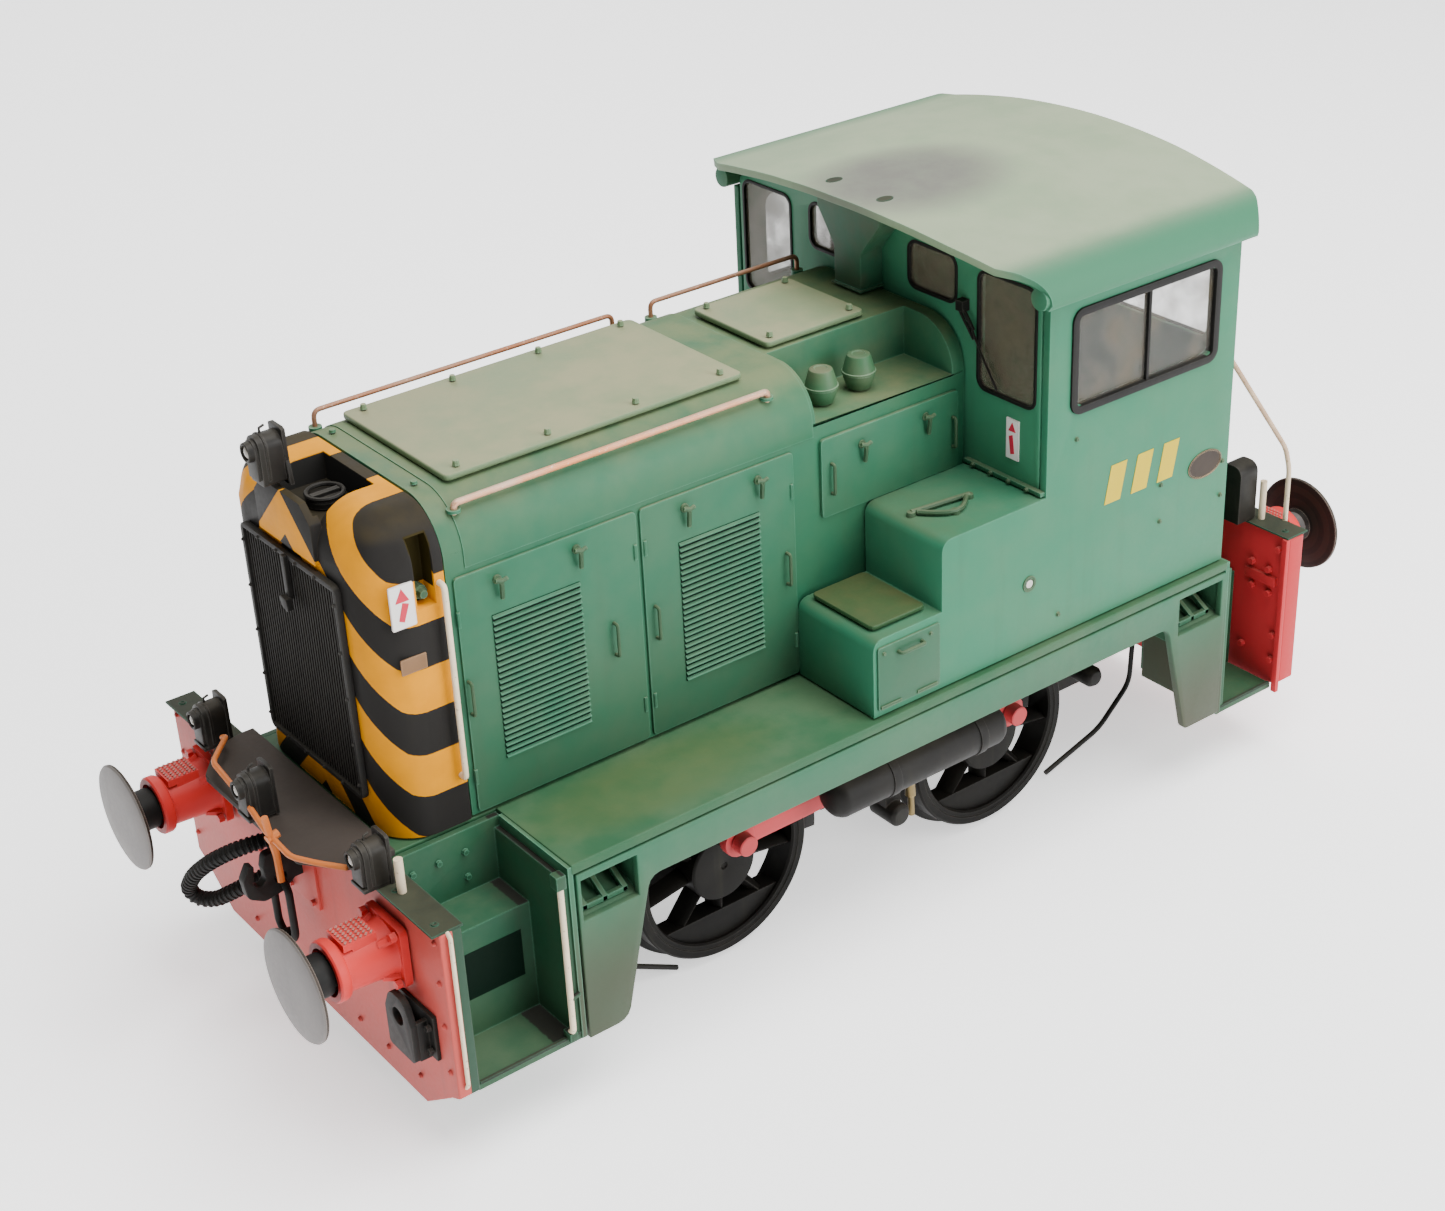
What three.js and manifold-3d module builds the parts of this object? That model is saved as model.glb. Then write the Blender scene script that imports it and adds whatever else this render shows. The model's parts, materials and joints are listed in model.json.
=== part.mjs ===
// Model of a four-wheeled diesel shunting locomotive, 7 mm to the foot (O gauge).
// Millimetres. The radiator end faces -X, the cab end +X, +Z is up, and Z = 0 is
// the lowest point of the wheel flanges.
import * as THREE from 'three';
import { mergeVertices } from 'three/addons/utils/BufferGeometryUtils.js';
import Module from 'manifold-3d';

const wasm = await Module();
wasm.setup();

// ---- driving dimensions -------------------------------------------------
const gap = 0.3;                 // clearance between separate pieces
const sheet = 1.0;               // thickness of the sheet-metal panels

const board = { front: -47.9, rear: 51.2, half: 29.1, top: 31.4, thick: 1.2, end: 61.4, inner: 14.8 };
const deckTop = board.top + gap; // where pieces standing on the running board begin
const hood = { front: -50.9, rear: 19.6, half: 14.9, top: 68.2, round: 6.0, wall: 1.1 };
const ledge = { front: -2.6, rear: 17.8, inner: -6.4, floor: 62.2 };
const nose = { front: -60.2, rear: -51.2, half: 15.3, corner: 4.6, top: 68.2 };
const grille = { half: 10.2, bottom: 35.6, top: 61.1, rim: 0.9, depth: 1.1, slats: 17 };
const cab = { front: 19.9, rear: 50.7, half: 28.4, gutter: 73.8 };
const roof = { crown: 81.3, radius: 117, eaveY: 26.0, eaveZ: 74.6, eaveRadius: 4.0, thick: 0.9 };
const sideWindow = { x0: 24.2, x1: 46.7, z0: 60.5, z1: 71.6, corner: 1.2 };
const frontWindows = [
  { y: -21.6, width: 9.2, z0: 60.8, z1: 75.0 },
  { y: -9.1, width: 8.0, z0: 69.9, z1: 75.4 },
  { y: 9.1, width: 8.0, z0: 69.9, z1: 75.4 },
  { y: 21.6, width: 9.2, z0: 60.8, z1: 75.0 },
];
const rearWindows = [
  { y: -15.6, width: 18.0, z0: 60.5, z1: 74.0 },
  { y: 15.6, width: 18.0, z0: 60.5, z1: 74.0 },
];
const lockers = { inner: 15.2, lowFront: -6.2, lowTop: 41.6, tallFront: 4.0, tallTop: 50.5 };
const skirt = { top: 29.9, arch: 25.6, foot: 8.5, front: -47.4, rear: 51.2, thick: 1.0 };
const well = { inner: 48.2, outer: 61.4, back: 15.1, riser: 21.7, upper: 23.4, lower: 9.6, plate: 0.8 };
const beam = { front: 64.4, thick: 2.6, half: 30.0, top: 31.0, shoulder: 10.0, bottom: 4.8, bottomHalf: 22.5 };
const buffer = {
  y: 20.0, z: 24.8, face: 76.5, headRadius: 6.35, headThick: 0.8,
  barrel: 2.9, collar: 3.4, mouth: 72.6, bore: 2.05, ram: 1.7, base: 7.4, travel: 2.5,
};
const wheel = { x: 21.0, z: 13.3, tread: 12.25, flange: 13.3, back: 14.65, face: 18.6, hub: 3.7, spokes: 9 };
const crank = { throw: 5.3, pin: 0.8, rodIn: 20.9, rodOut: 22.1, end: 22.9 };
const axleRadius = 1.6;
const frame = { half: 12.3, plate: 1.2, front: -43, rear: 43, top: 28.9, bottom: 9.6 };

// ---- finishes -----------------------------------------------------------
const finish = (color, roughness = 0.6, metalness = 0) => ({ color, roughness, metalness });
const green = finish(0x5a9a80);
const olive = finish(0x8f9a78, 0.7);
const black = finish(0x3a3836, 0.65);
const wasp = finish(0xe6ad35);
const red = finish(0xc8494e, 0.55);
const paleRed = finish(0xd06b6b, 0.55);
const glass = finish(0xc9ccc8, 0.1);
const steel = finish(0x9a9894, 0.4, 0.6);
const wheelBlack = finish(0x34322f, 0.6);
const brass = finish(0xb08a4a, 0.35, 1);
const motorSteel = finish(0x8b8d90, 0.35, 0.9);

// ---- solids -------------------------------------------------------------
function solid(geometry) {
  const bare = geometry.clone();
  bare.deleteAttribute('normal');
  bare.deleteAttribute('uv');
  const merged = mergeVertices(bare, 1e-4);
  return new wasm.Manifold(new wasm.Mesh({
    numProp: 3,
    vertProperties: new Float32Array(merged.attributes.position.array),
    triVerts: new Uint32Array(merged.index.array),
  }));
}

function toGeometry(body) {
  const mesh = body.getMesh();
  const geometry = new THREE.BufferGeometry();
  geometry.setAttribute('position', new THREE.BufferAttribute(new Float32Array(mesh.vertProperties), 3));
  geometry.setIndex(new THREE.BufferAttribute(new Uint32Array(mesh.triVerts), 1));
  return geometry;
}

const joined = (...bodies) => bodies.reduce((sum, body) => sum.add(body));
const cut = (body, ...tools) => tools.reduce((rest, tool) => rest.subtract(tool), body);

function box(x0, x1, y0, y1, z0, z1) {
  const geometry = new THREE.BoxGeometry(Math.abs(x1 - x0), Math.abs(y1 - y0), Math.abs(z1 - z0));
  geometry.translate((x0 + x1) / 2, (y0 + y1) / 2, (z0 + z1) / 2);
  return solid(geometry);
}

// An outline drawn square to an axis and stretched along it:
// 'x' takes (y, z) points, 'y' takes (x, z) points and 'z' takes (x, y) points.
function prism(outline, axis, from, to) {
  const shape = new THREE.Shape(outline.map(([u, v]) => new THREE.Vector2(u, v)));
  const geometry = new THREE.ExtrudeGeometry(shape, { depth: to - from, bevelEnabled: false });
  const place = new THREE.Matrix4();
  if (axis === 'x') place.set(0, 0, 1, from, 1, 0, 0, 0, 0, 1, 0, 0, 0, 0, 0, 1);
  if (axis === 'y') place.set(1, 0, 0, 0, 0, 0, -1, to, 0, 1, 0, 0, 0, 0, 0, 1);
  if (axis === 'z') place.set(1, 0, 0, 0, 0, 1, 0, 0, 0, 0, 1, from, 0, 0, 0, 1);
  geometry.applyMatrix4(place);
  return solid(geometry);
}

// Rounds the corners of a convex or concave outline; a point may carry its own radius.
function rounded(points, radius, steps = 4) {
  const outline = [];
  points.forEach((point, i) => {
    const r = point[2] ?? radius;
    const corner = new THREE.Vector2(point[0], point[1]);
    if (r === 0) {
      outline.push([corner.x, corner.y]);
      return;
    }
    const before = points[(i + points.length - 1) % points.length];
    const after = points[(i + 1) % points.length];
    const a = new THREE.Vector2(before[0], before[1]).sub(corner).normalize();
    const b = new THREE.Vector2(after[0], after[1]).sub(corner).normalize();
    const half = Math.acos(THREE.MathUtils.clamp(a.dot(b), -1, 1)) / 2;
    const reach = r / Math.tan(half);
    const centre = corner.clone().add(a.clone().add(b).normalize().multiplyScalar(r / Math.sin(half)));
    const start = corner.clone().add(a.clone().multiplyScalar(reach)).sub(centre);
    const stop = corner.clone().add(b.clone().multiplyScalar(reach)).sub(centre);
    let sweep = stop.angle() - start.angle();
    if (sweep > Math.PI) sweep -= 2 * Math.PI;
    if (sweep < -Math.PI) sweep += 2 * Math.PI;
    for (let k = 0; k <= steps; k += 1) {
      const turn = start.clone().rotateAround(new THREE.Vector2(), (sweep * k) / steps);
      outline.push([centre.x + turn.x, centre.y + turn.y]);
    }
  });
  return outline;
}

const rectangle = (u0, u1, v0, v1) => [[u0, v0], [u1, v0], [u1, v1], [u0, v1]];

// A lathe turned on the X axis: profile points are (x, radius).
function turnedX(profile, y, z, segments = 24) {
  const points = profile.map(([x, r]) => new THREE.Vector2(r, x));
  const geometry = new THREE.LatheGeometry(points, segments);
  geometry.rotateZ(-Math.PI / 2);
  geometry.translate(0, y, z);
  const body = solid(geometry);
  return body.volume() < 0 ? solid(flipped(geometry)) : body;
}

// A lathe turned on the Y axis: profile points are (y, radius).
function turnedY(profile, x, z, segments = 36) {
  const points = profile.map(([y, r]) => new THREE.Vector2(r, y));
  const geometry = new THREE.LatheGeometry(points, segments);
  geometry.translate(x, 0, z);
  const body = solid(geometry);
  return body.volume() < 0 ? solid(flipped(geometry)) : body;
}

function flipped(geometry) {
  const turned = geometry.clone();
  const index = turned.index.array;
  for (let i = 0; i < index.length; i += 3) [index[i], index[i + 1]] = [index[i + 1], index[i]];
  return turned;
}

function upright(x, y, z0, z1, radius, segments = 20) {
  const geometry = new THREE.CylinderGeometry(radius, radius, z1 - z0, segments);
  geometry.rotateX(Math.PI / 2);
  geometry.translate(x, y, (z0 + z1) / 2);
  return solid(geometry);
}

const mirrored = (body) => body.mirror([0, 1, 0]);
const reversed = (body) => body.mirror([1, 0, 0]);

// ---- the locomotive -----------------------------------------------------
const locomotive = new THREE.Group();
locomotive.name = 'model_diesel_shunter';

function place(name, body, look) {
  const material = new THREE.MeshStandardMaterial(look);
  const mesh = new THREE.Mesh(toGeometry(body), material);
  mesh.name = name;
  locomotive.add(mesh);
}

// Bonnet: a folded sheet, open below, with a ledge sunk into its rear near corner.
const hoodOutline = (inset) => rounded([
  [hood.half - inset, deckTop - (inset ? 1 : 0), 0],
  [hood.half - inset, hood.top - inset, hood.round - inset],
  [-hood.half + inset, hood.top - inset, hood.round - inset],
  [-hood.half + inset, deckTop - (inset ? 1 : 0), 0],
], 0, 5);

function hoodShell() {
  const shell = cut(
    prism(hoodOutline(0), 'x', hood.front, hood.rear),
    prism(hoodOutline(hood.wall), 'x', hood.front - 1, hood.rear + 1),
  );
  const above = box(ledge.front, ledge.rear, -hood.half - 1, ledge.inner, ledge.floor, hood.top + 1);
  const outside = prism(hoodOutline(0), 'x', hood.front, hood.rear);
  const tray = box(ledge.front - sheet, ledge.rear + sheet, -hood.half, ledge.inner + sheet,
    ledge.floor - sheet, hood.top - 0.01).intersect(outside);
  return cut(joined(shell, tray), above);
}
place('hood_shell', hoodShell(), green);

// Radiator cowl: rounded in plan, with the filler well sunk into its top.
function noseCowl() {
  const plan = prism(rounded([
    [nose.rear, -nose.half, 0], [nose.rear, nose.half, 0],
    [nose.front, nose.half], [nose.front, -nose.half],
  ], nose.corner, 6), 'z', deckTop, nose.top + 1);
  const side = prism(rounded([
    [nose.rear + 1, deckTop, 0], [nose.rear + 1, nose.top, 0],
    [nose.front, nose.top, 2.4], [nose.front, deckTop, 0],
  ], 0, 4), 'y', -20, 20);
  const across = prism(rounded([
    [nose.half, deckTop, 0], [nose.half, nose.top, hood.round],
    [-nose.half, nose.top, hood.round], [-nose.half, deckTop, 0],
  ], 0, 5), 'x', nose.front - 1, nose.rear + 1);
  const lip = box(-60.6, -59.2, -6.0, 6.0, 61.8, nose.top);
  const fillerWell = box(-59.8, -52.6, -5.3, 5.3, 65.0, 70);
  const lampNotch = box(-54.4, -52.4, -20, -13.0, 58.4, 66.2);
  const core = box(-58.4, nose.rear + 1, -12.4, 12.4, deckTop - 1, 61.5);
  return cut(joined(plan.intersect(side).intersect(across), lip), fillerWell, lampNotch, core);
}
place('nose_cowl', noseCowl(), wasp);

function radiatorGrille() {
  const back = nose.front - gap;
  const ring = cut(
    prism(rounded(rectangle(-grille.half, grille.half, grille.bottom, grille.top), 0.9, 3),
      'x', back - grille.depth, back),
    box(back - 3, back - 0.4, -grille.half + grille.rim, grille.half - grille.rim,
      grille.bottom + grille.rim, grille.top - grille.rim),
  );
  const inside = 2 * (grille.half - grille.rim);
  const pitch = inside / grille.slats;
  const slats = [];
  for (let i = 0; i < grille.slats; i += 1) {
    const y = -inside / 2 + (i + 0.5) * pitch;
    slats.push(box(back - 0.9, back - 0.3, y - pitch * 0.28, y + pitch * 0.28,
      grille.bottom + 0.5, grille.top - 0.5));
  }
  return joined(ring, ...slats);
}
place('radiator_grille', radiatorGrille(), black);

const fillerCap = joined(
  upright(-55.5, 0.2, 65.3, 66.5, 2.3),
  box(-56.1, -54.9, -2.0, 2.4, 66.4, 67.2),
);
place('filler_cap', fillerCap, black);

place('hood_hatch_front', prism(
  rounded(rectangle(-47.3, -9.2, -10.7, 10.7), 0.6, 2), 'z', hood.top + gap, hood.top + 1.0), olive);
place('hood_hatch_rear', prism(
  rounded(rectangle(-2.2, 12.2, -6.0, 8.0), 0.6, 2), 'z', hood.top + gap, hood.top + 1.0), olive);

// Exhaust duct: half-round column against the cab front, flaring out under the roof.
function exhaustDuct() {
  const column = prism(rounded([
    [cab.front - gap, 0.0, 0], [cab.front - gap, 3.7, 0], [16.9, 3.7], [16.9, 0.0],
  ], 1.1, 4), 'z', hood.top + gap, 74.2);
  const flare = prism([[0.0, 73.6], [3.7, 73.6], [6.6, 78.3], [-3.0, 78.5]], 'x', 16.6, cab.front - gap);
  return joined(column, flare);
}
place('exhaust_duct', exhaustDuct(), green);

[[1.5, -11.0], [7.3, -10.7]].forEach(([x, y], i) => {
  const profile = [
    [0, ledge.floor + gap], [1.4, ledge.floor + gap], [1.85, ledge.floor + 1.9],
    [1.85, ledge.floor + 2.2], [1.25, ledge.floor + 4.2], [0, ledge.floor + 4.2],
  ];
  const geometry = new THREE.LatheGeometry(profile.map(([r, z]) => new THREE.Vector2(r, z)), 20);
  geometry.rotateX(Math.PI / 2);
  geometry.translate(x, y, 0);
  const dome = solid(geometry);
  place(`air_filter_${i + 1}`, dome.volume() < 0 ? solid(flipped(geometry)) : dome, olive);
});

// Cab front and rear: flat plates under the curve of the roof.
const arch = (y, drop) => roof.crown - drop - (y * y) / (2 * roof.radius);

function endPlate(windows, x0, bottom) {
  const half = cab.half - sheet - gap;
  const points = [[-half, bottom], [half, bottom]];
  for (let i = 8; i >= -8; i -= 1) {
    const y = (half * i) / 8;
    points.push([y, arch(y, roof.thick + gap + (Math.abs(i) === 8 ? 1.8 : 0))]);
  }
  const plate = prism(points, 'x', x0, x0 + sheet);
  const holes = windows.map(({ y, width, z0, z1 }) => prism(
    rounded(rectangle(y - width / 2, y + width / 2, z0, z1), 1.2, 3), 'x', x0 - 1, x0 + sheet + 1));
  return cut(plate, ...holes);
}
place('cab_front', endPlate(frontWindows, cab.front, deckTop), green);
place('cab_rear', endPlate(rearWindows, cab.rear - sheet, deckTop), green);

// Cab side sheet, made in one with the stepped fuel and battery lockers ahead of it.
function cabSide() {
  const outline = rounded([
    [lockers.lowFront, deckTop, 0], [cab.rear, deckTop, 0], [cab.rear, cab.gutter, 0],
    [cab.front, cab.gutter, 0], [cab.front, lockers.tallTop, 0],
    [lockers.tallFront, lockers.tallTop, 1.4], [lockers.tallFront, lockers.lowTop, 0],
    [lockers.lowFront, lockers.lowTop, 1.4],
  ], 0, 4);
  const skin = prism(outline, 'y', -cab.half, -cab.half + sheet);
  const boxes = prism(outline, 'y', -cab.half, -lockers.inner)
    .intersect(box(lockers.lowFront - 1, cab.front - gap, -cab.half, -lockers.inner, 0, 60));
  const window = prism(
    rounded(rectangle(sideWindow.x0, sideWindow.x1, sideWindow.z0, sideWindow.z1), sideWindow.corner, 4),
    'y', -cab.half - 1, -cab.half + sheet + 1);
  return cut(joined(skin, boxes), window);
}
const nearSide = cabSide();
place('cab_side_near', nearSide, green);
place('cab_side_far', mirrored(nearSide), green);

const lid = prism(rounded(rectangle(-5.0, 2.9, -26.9, -16.2), 0.6, 2), 'z', lockers.lowTop + gap, 42.4);
place('locker_lid_near', lid, olive);
place('locker_lid_far', mirrored(lid), olive);

// Roof: a curved sheet with rolled eaves; its ends are bowed in plan.
function roofOutline(inset) {
  const right = [];
  const eave = roof.eaveRadius - inset;
  for (let i = 0; i <= 6; i += 1) {
    const y = (roof.eaveY * i) / 6.3;
    right.push([y, arch(y, inset)]);
  }
  for (let k = 0; k <= 6; k += 1) {
    const turn = THREE.MathUtils.degToRad(84 - 13.5 * k);
    right.push([roof.eaveY + eave * Math.cos(turn), roof.eaveZ + eave * Math.sin(turn)]);
  }
  right.push([roof.eaveY + eave - 0.35, cab.gutter + gap]);
  const left = right.slice(1).map(([y, z]) => [-y, z]).reverse();
  return [...left, ...right];
}

function cabRoof() {
  const bar = prism(roofOutline(0), 'x', 5, 60);
  const under = prism(roofOutline(roof.thick).map(([y, z]) => [y, z <= cab.gutter + gap ? z - 1 : z]), 'x', 4, 61);
  const half = [[12.6, 0], [12.9, 9], [13.7, 18], [15.0, 25.6], [16.6, 28.0], [19.2, 30.6]];
  const back = [[51.2, 30.6], [53.2, 28.0], [54.3, 25.6], [55.0, 14], [55.2, 0]];
  const plan = [...half, ...back];
  const mirroredPlan = plan.slice(1, -1).map(([x, y]) => [x, -y]).reverse();
  const outline = prism([...plan, ...mirroredPlan].reverse(), 'z', 70, 90);
  return cut(bar, under).intersect(outline);
}
place('cab_roof', cabRoof(), olive);

// Glazing: clear sheets just inside the walls.
place('glazing_front', prism([
  [-26.3, 58.6], [26.3, 58.6], [26.3, 75.8], [12, 77.4], [-12, 77.4], [-26.3, 75.8],
], 'x', cab.front + sheet + gap, cab.front + sheet + gap + 0.4), glass);
place('glazing_rear', box(cab.rear - sheet - gap - 0.4, cab.rear - sheet - gap, -26.3, 26.3, 58.6, 75.6), glass);
const sidePane = box(22.4, 48.4, -cab.half + sheet + gap, -cab.half + sheet + gap + 0.4, 58.8, 73.2);
place('glazing_near', sidePane, glass);
place('glazing_far', mirrored(sidePane), glass);

place('control_desk', prism([
  [22.6, deckTop], [29.5, deckTop], [29.5, 53.0], [26.8, 57.0], [22.6, 57.0],
], 'y', -9.0, 9.0), black);

// Running board: full width between the step wells, narrow beside them.
const boardOutline = [
  [-board.end, -board.inner], [board.front, -board.inner], [board.front, -board.half],
  [board.rear, -board.half], [board.rear, -board.inner], [board.end, -board.inner],
  [board.end, board.inner], [board.rear, board.inner], [board.rear, board.half],
  [board.front, board.half], [board.front, board.inner], [-board.end, board.inner],
];
const runningBoard = cut(
  prism(boardOutline, 'z', board.top - board.thick, board.top),
  box(-14.5, 14.5, -9.5, 9.5, 20, 40),
);
place('running_board', runningBoard, green);

// Side skirt: deep at both ends, arched up over the wheels between them.
function sideSkirt() {
  const outline = rounded([
    [skirt.front, skirt.top, 0], [skirt.front, skirt.foot, 0], [-42.2, skirt.foot, 1.8],
    [-38.2, skirt.arch, 1.6], [41.0, skirt.arch, 1.6], [44.9, skirt.foot + 0.8, 0.8],
    [skirt.rear, skirt.foot + 0.8, 0], [skirt.rear, skirt.top, 0],
  ], 0, 3);
  const panel = prism(outline, 'y', -board.half, -board.half + skirt.thick);
  const frontStep = box(-46.9, -39.7, -30, -27, 23.8, 29.0);
  const rearStep = box(42.8, 50.5, -30, -27, 23.8, 29.0);
  return cut(panel, frontStep, rearStep);
}
const nearSkirt = sideSkirt();
place('side_skirt_near', nearSkirt, green);
place('side_skirt_far', mirrored(nearSkirt), green);

// Step well beside each buffer beam: back wall, two treads, riser with a toe hole, end wall.
function stepWell(inner) {
  const back = box(-well.outer, -inner, -well.back - well.plate, -well.back, well.lower, board.top - 0.2);
  const end = box(-inner - well.plate, -inner, -28.8, -well.back - 0.4, well.lower - 0.7, skirt.top);
  const upper = box(-well.outer, -inner, -well.riser, -well.back - 0.4, well.upper - well.plate, well.upper);
  const riser = box(-well.outer, -inner, -well.riser, -well.riser + well.plate, well.lower - 0.7, well.upper);
  const lower = box(-well.outer, -inner, -28.9, -well.riser + 0.4, well.lower - 0.7, well.lower);
  const toeHole = box(-60.3, -52.0, -23, -20, 15.2, 20.2);
  return cut(joined(back, end, upper, riser, lower), toeHole);
}
const frontSteps = stepWell(well.inner);
const rearSteps = stepWell(board.rear + 0.4);
place('steps_front_near', frontSteps, green);
place('steps_front_far', mirrored(frontSteps), green);
place('steps_rear_near', reversed(rearSteps), green);
place('steps_rear_far', mirrored(reversed(rearSteps)), green);

// Buffer beams with a slot for the coupling hook.
const beamOutline = [
  [-beam.half, beam.top], [-beam.half, beam.shoulder], [-28.4, beam.shoulder - 0.8],
  [-beam.bottomHalf, beam.bottom], [beam.bottomHalf, beam.bottom],
  [28.4, beam.shoulder - 0.8], [beam.half, beam.shoulder], [beam.half, beam.top],
];
const frontBeam = cut(
  prism(beamOutline, 'x', -beam.front, -beam.front + beam.thick),
  box(-70, -60, -1.0, 1.0, 22.4, 26.4),
);
place('buffer_beam_front', frontBeam, paleRed);
place('buffer_beam_rear', reversed(frontBeam), red);

place('front_platform', prism(rounded([
  [-60.9, -15.8, 0], [-62.4, -15.8, 0], [-66.2, -14.9, 0.8], [-69.6, -10.4, 0.8],
  [-69.6, 10.4, 0.8], [-66.2, 14.9, 0.8], [-62.4, 15.8, 0], [-60.9, 15.8, 0],
].reverse(), 0, 2), 'z', board.top + gap, board.top + 1.1), black);

// Marker lamps: a small round-topped body, lens facing -X, on a plate that reaches down to its foot.
const lampSize = { half: 1.4, height: 5.3, depth: 3.0, plate: 0.6 };
function lamp(x, y, z, foot) {
  const { half, height, depth, plate } = lampSize;
  const body = prism(rounded([
    [y - half, z, 0.3], [y + half, z, 0.3], [y + half, z + height, 1.3], [y - half, z + height, 1.3],
  ], 0, 3), 'x', x, x + depth);
  const lens = turnedX([[x - 0.6, 0], [x - 0.6, 0.85], [x + 0.3, 1.0], [x + 0.3, 0]], y, z + 3.7, 14);
  const wide = half + 0.15;
  const back = box(x + depth - 0.1, x + depth + plate, y - wide, y + wide, foot, z + height + 0.5);
  return joined(body, lens, back);
}
place('lamp_front_near', lamp(-66.6, -17.9, beam.top + gap, beam.top + gap), black);
place('lamp_front_far', lamp(-66.6, 17.9, beam.top + gap, beam.top + gap), black);
place('lamp_front_centre', lamp(-70.4, -0.6, board.top + 1.4, board.top + 1.4), black);
place('lamp_nose', lamp(-62.4, 1.5, 68.9, nose.top + gap), black);

// Buffers: a fixed housing with a blind bore, and a sprung head that slides in it.
function bufferHousing(y) {
  const x0 = -beam.front - gap;
  const base = prism(rounded(rectangle(y - buffer.base / 2, y + buffer.base / 2,
    buffer.z - buffer.base / 2, buffer.z + buffer.base / 2), 0.8, 2), 'x', x0 - 0.9, x0);
  const barrel = turnedX([
    [-buffer.mouth, 0], [-buffer.mouth, buffer.collar], [-buffer.mouth + 0.9, buffer.collar],
    [-buffer.mouth + 1.1, buffer.barrel], [x0 - 1.6, buffer.barrel], [x0 - 0.4, buffer.barrel + 0.6],
    [x0 - 0.4, 0],
  ], y, buffer.z, 24);
  const pad = box(-71.0, -67.4, y - 2.0, y + 2.0, buffer.z + 1.5, buffer.z + 3.6);
  const bore = turnedX([[-80, 0], [-80, buffer.bore], [-66.0, buffer.bore], [-66.0, 0]], y, buffer.z, 20);
  return cut(joined(base, barrel, pad), bore);
}

function bufferHead(y) {
  return turnedX([
    [-buffer.face, 0], [-buffer.face + 0.1, buffer.headRadius - 0.5],
    [-buffer.face + 0.35, buffer.headRadius], [-buffer.face + buffer.headThick, buffer.headRadius],
    [-buffer.face + buffer.headThick + 0.3, buffer.ram + 0.2], [-buffer.face + 2.0, buffer.ram],
    [-68.9, buffer.ram], [-68.9, 0],
  ], y, buffer.z, 32);
}
const housing = bufferHousing(-buffer.y);
const head = bufferHead(-buffer.y);
place('buffer_housing_front_near', housing, red);
place('buffer_housing_front_far', mirrored(housing), red);
place('buffer_housing_rear_near', reversed(housing), red);
place('buffer_housing_rear_far', reversed(mirrored(housing)), red);
place('buffer_head_front_near', head, steel);
place('buffer_head_front_far', mirrored(head), steel);
place('buffer_head_rear_near', reversed(head), steel);
place('buffer_head_rear_far', reversed(mirrored(head)), steel);

// Coupling hook: a flat forging through the beam slot, with a hole for the link.
const link = { x: -67.4, z: 23.6, half: 2.0, drop: 8.4, wire: 0.45 };
function couplingHook() {
  const shape = prism(rounded([
    [-59.5, 23.2, 0], [-59.5, 26.0, 0], [-66.0, 26.2], [-67.6, 27.2, 0.6], [-68.9, 27.2, 0.5],
    [-69.3, 25.6, 0.4], [-69.1, 24.2, 0.4], [-69.9, 23.3, 0.4], [-70.6, 24.2, 0.3], [-70.3, 26.4, 0.1],
    [-70.9, 26.6, 0.1], [-71.8, 25.0, 0.8], [-71.5, 22.6, 0.9], [-69.6, 21.5, 0.9], [-67.2, 21.9, 0.8],
    [-65.8, 23.0, 0.6],
  ].reverse(), 0.5, 2), 'y', -0.6, 0.6);
  return cut(shape, turnedY([[-2, 0], [-2, 0.75], [2, 0.75], [2, 0]], link.x, link.z + 0.2, 14));
}
const hook = couplingHook();
place('coupling_hook_front', hook, black);
place('coupling_hook_rear', reversed(hook), black);

// Coupling link: a long ring of round wire hanging through the hook.
function ringFromPath(points, radius, sides, closed) {
  const position = [];
  const index = [];
  const count = points.length;
  const normal = new THREE.Vector3();
  const side = new THREE.Vector3();
  for (let i = 0; i < count; i += 1) {
    const before = points[closed ? (i + count - 1) % count : Math.max(i - 1, 0)];
    const after = points[closed ? (i + 1) % count : Math.min(i + 1, count - 1)];
    const ahead = after.clone().sub(before).normalize();
    normal.set(1, 0, 0);
    side.crossVectors(ahead, normal).normalize();
    for (let k = 0; k < sides; k += 1) {
      const turn = (k / sides) * 2 * Math.PI;
      const at = points[i].clone()
        .addScaledVector(normal, radius * Math.cos(turn))
        .addScaledVector(side, radius * Math.sin(turn));
      position.push(at.x, at.y, at.z);
    }
  }
  for (let i = 0; i < count; i += 1) {
    const next = (i + 1) % count;
    for (let k = 0; k < sides; k += 1) {
      const turn = (k + 1) % sides;
      const [a, b, c, d] = [i * sides + k, next * sides + k, next * sides + turn, i * sides + turn];
      index.push(a, b, c, a, c, d);
    }
  }
  const geometry = new THREE.BufferGeometry();
  geometry.setAttribute('position', new THREE.BufferAttribute(new Float32Array(position), 3));
  geometry.setIndex(index);
  const body = solid(geometry);
  return body.volume() < 0 ? solid(flipped(geometry)) : body;
}

function linkRing() {
  const straight = (link.drop - 2 * link.half) / 2;
  const centre = link.z + 0.1 - straight - link.half;
  const points = [];
  for (let i = 0; i < 20; i += 1) {
    const turn = ((i + 0.5) / 20) * 2 * Math.PI;
    const shift = Math.sin(turn) >= 0 ? straight : -straight;
    points.push(new THREE.Vector3(link.x, link.half * Math.cos(turn), centre + shift + link.half * Math.sin(turn)));
  }
  return ringFromPath(points, link.wire, 8, true);
}
const ring = linkRing();
place('coupling_link_front', ring, black);
place('coupling_link_rear', reversed(ring), black);

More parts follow.
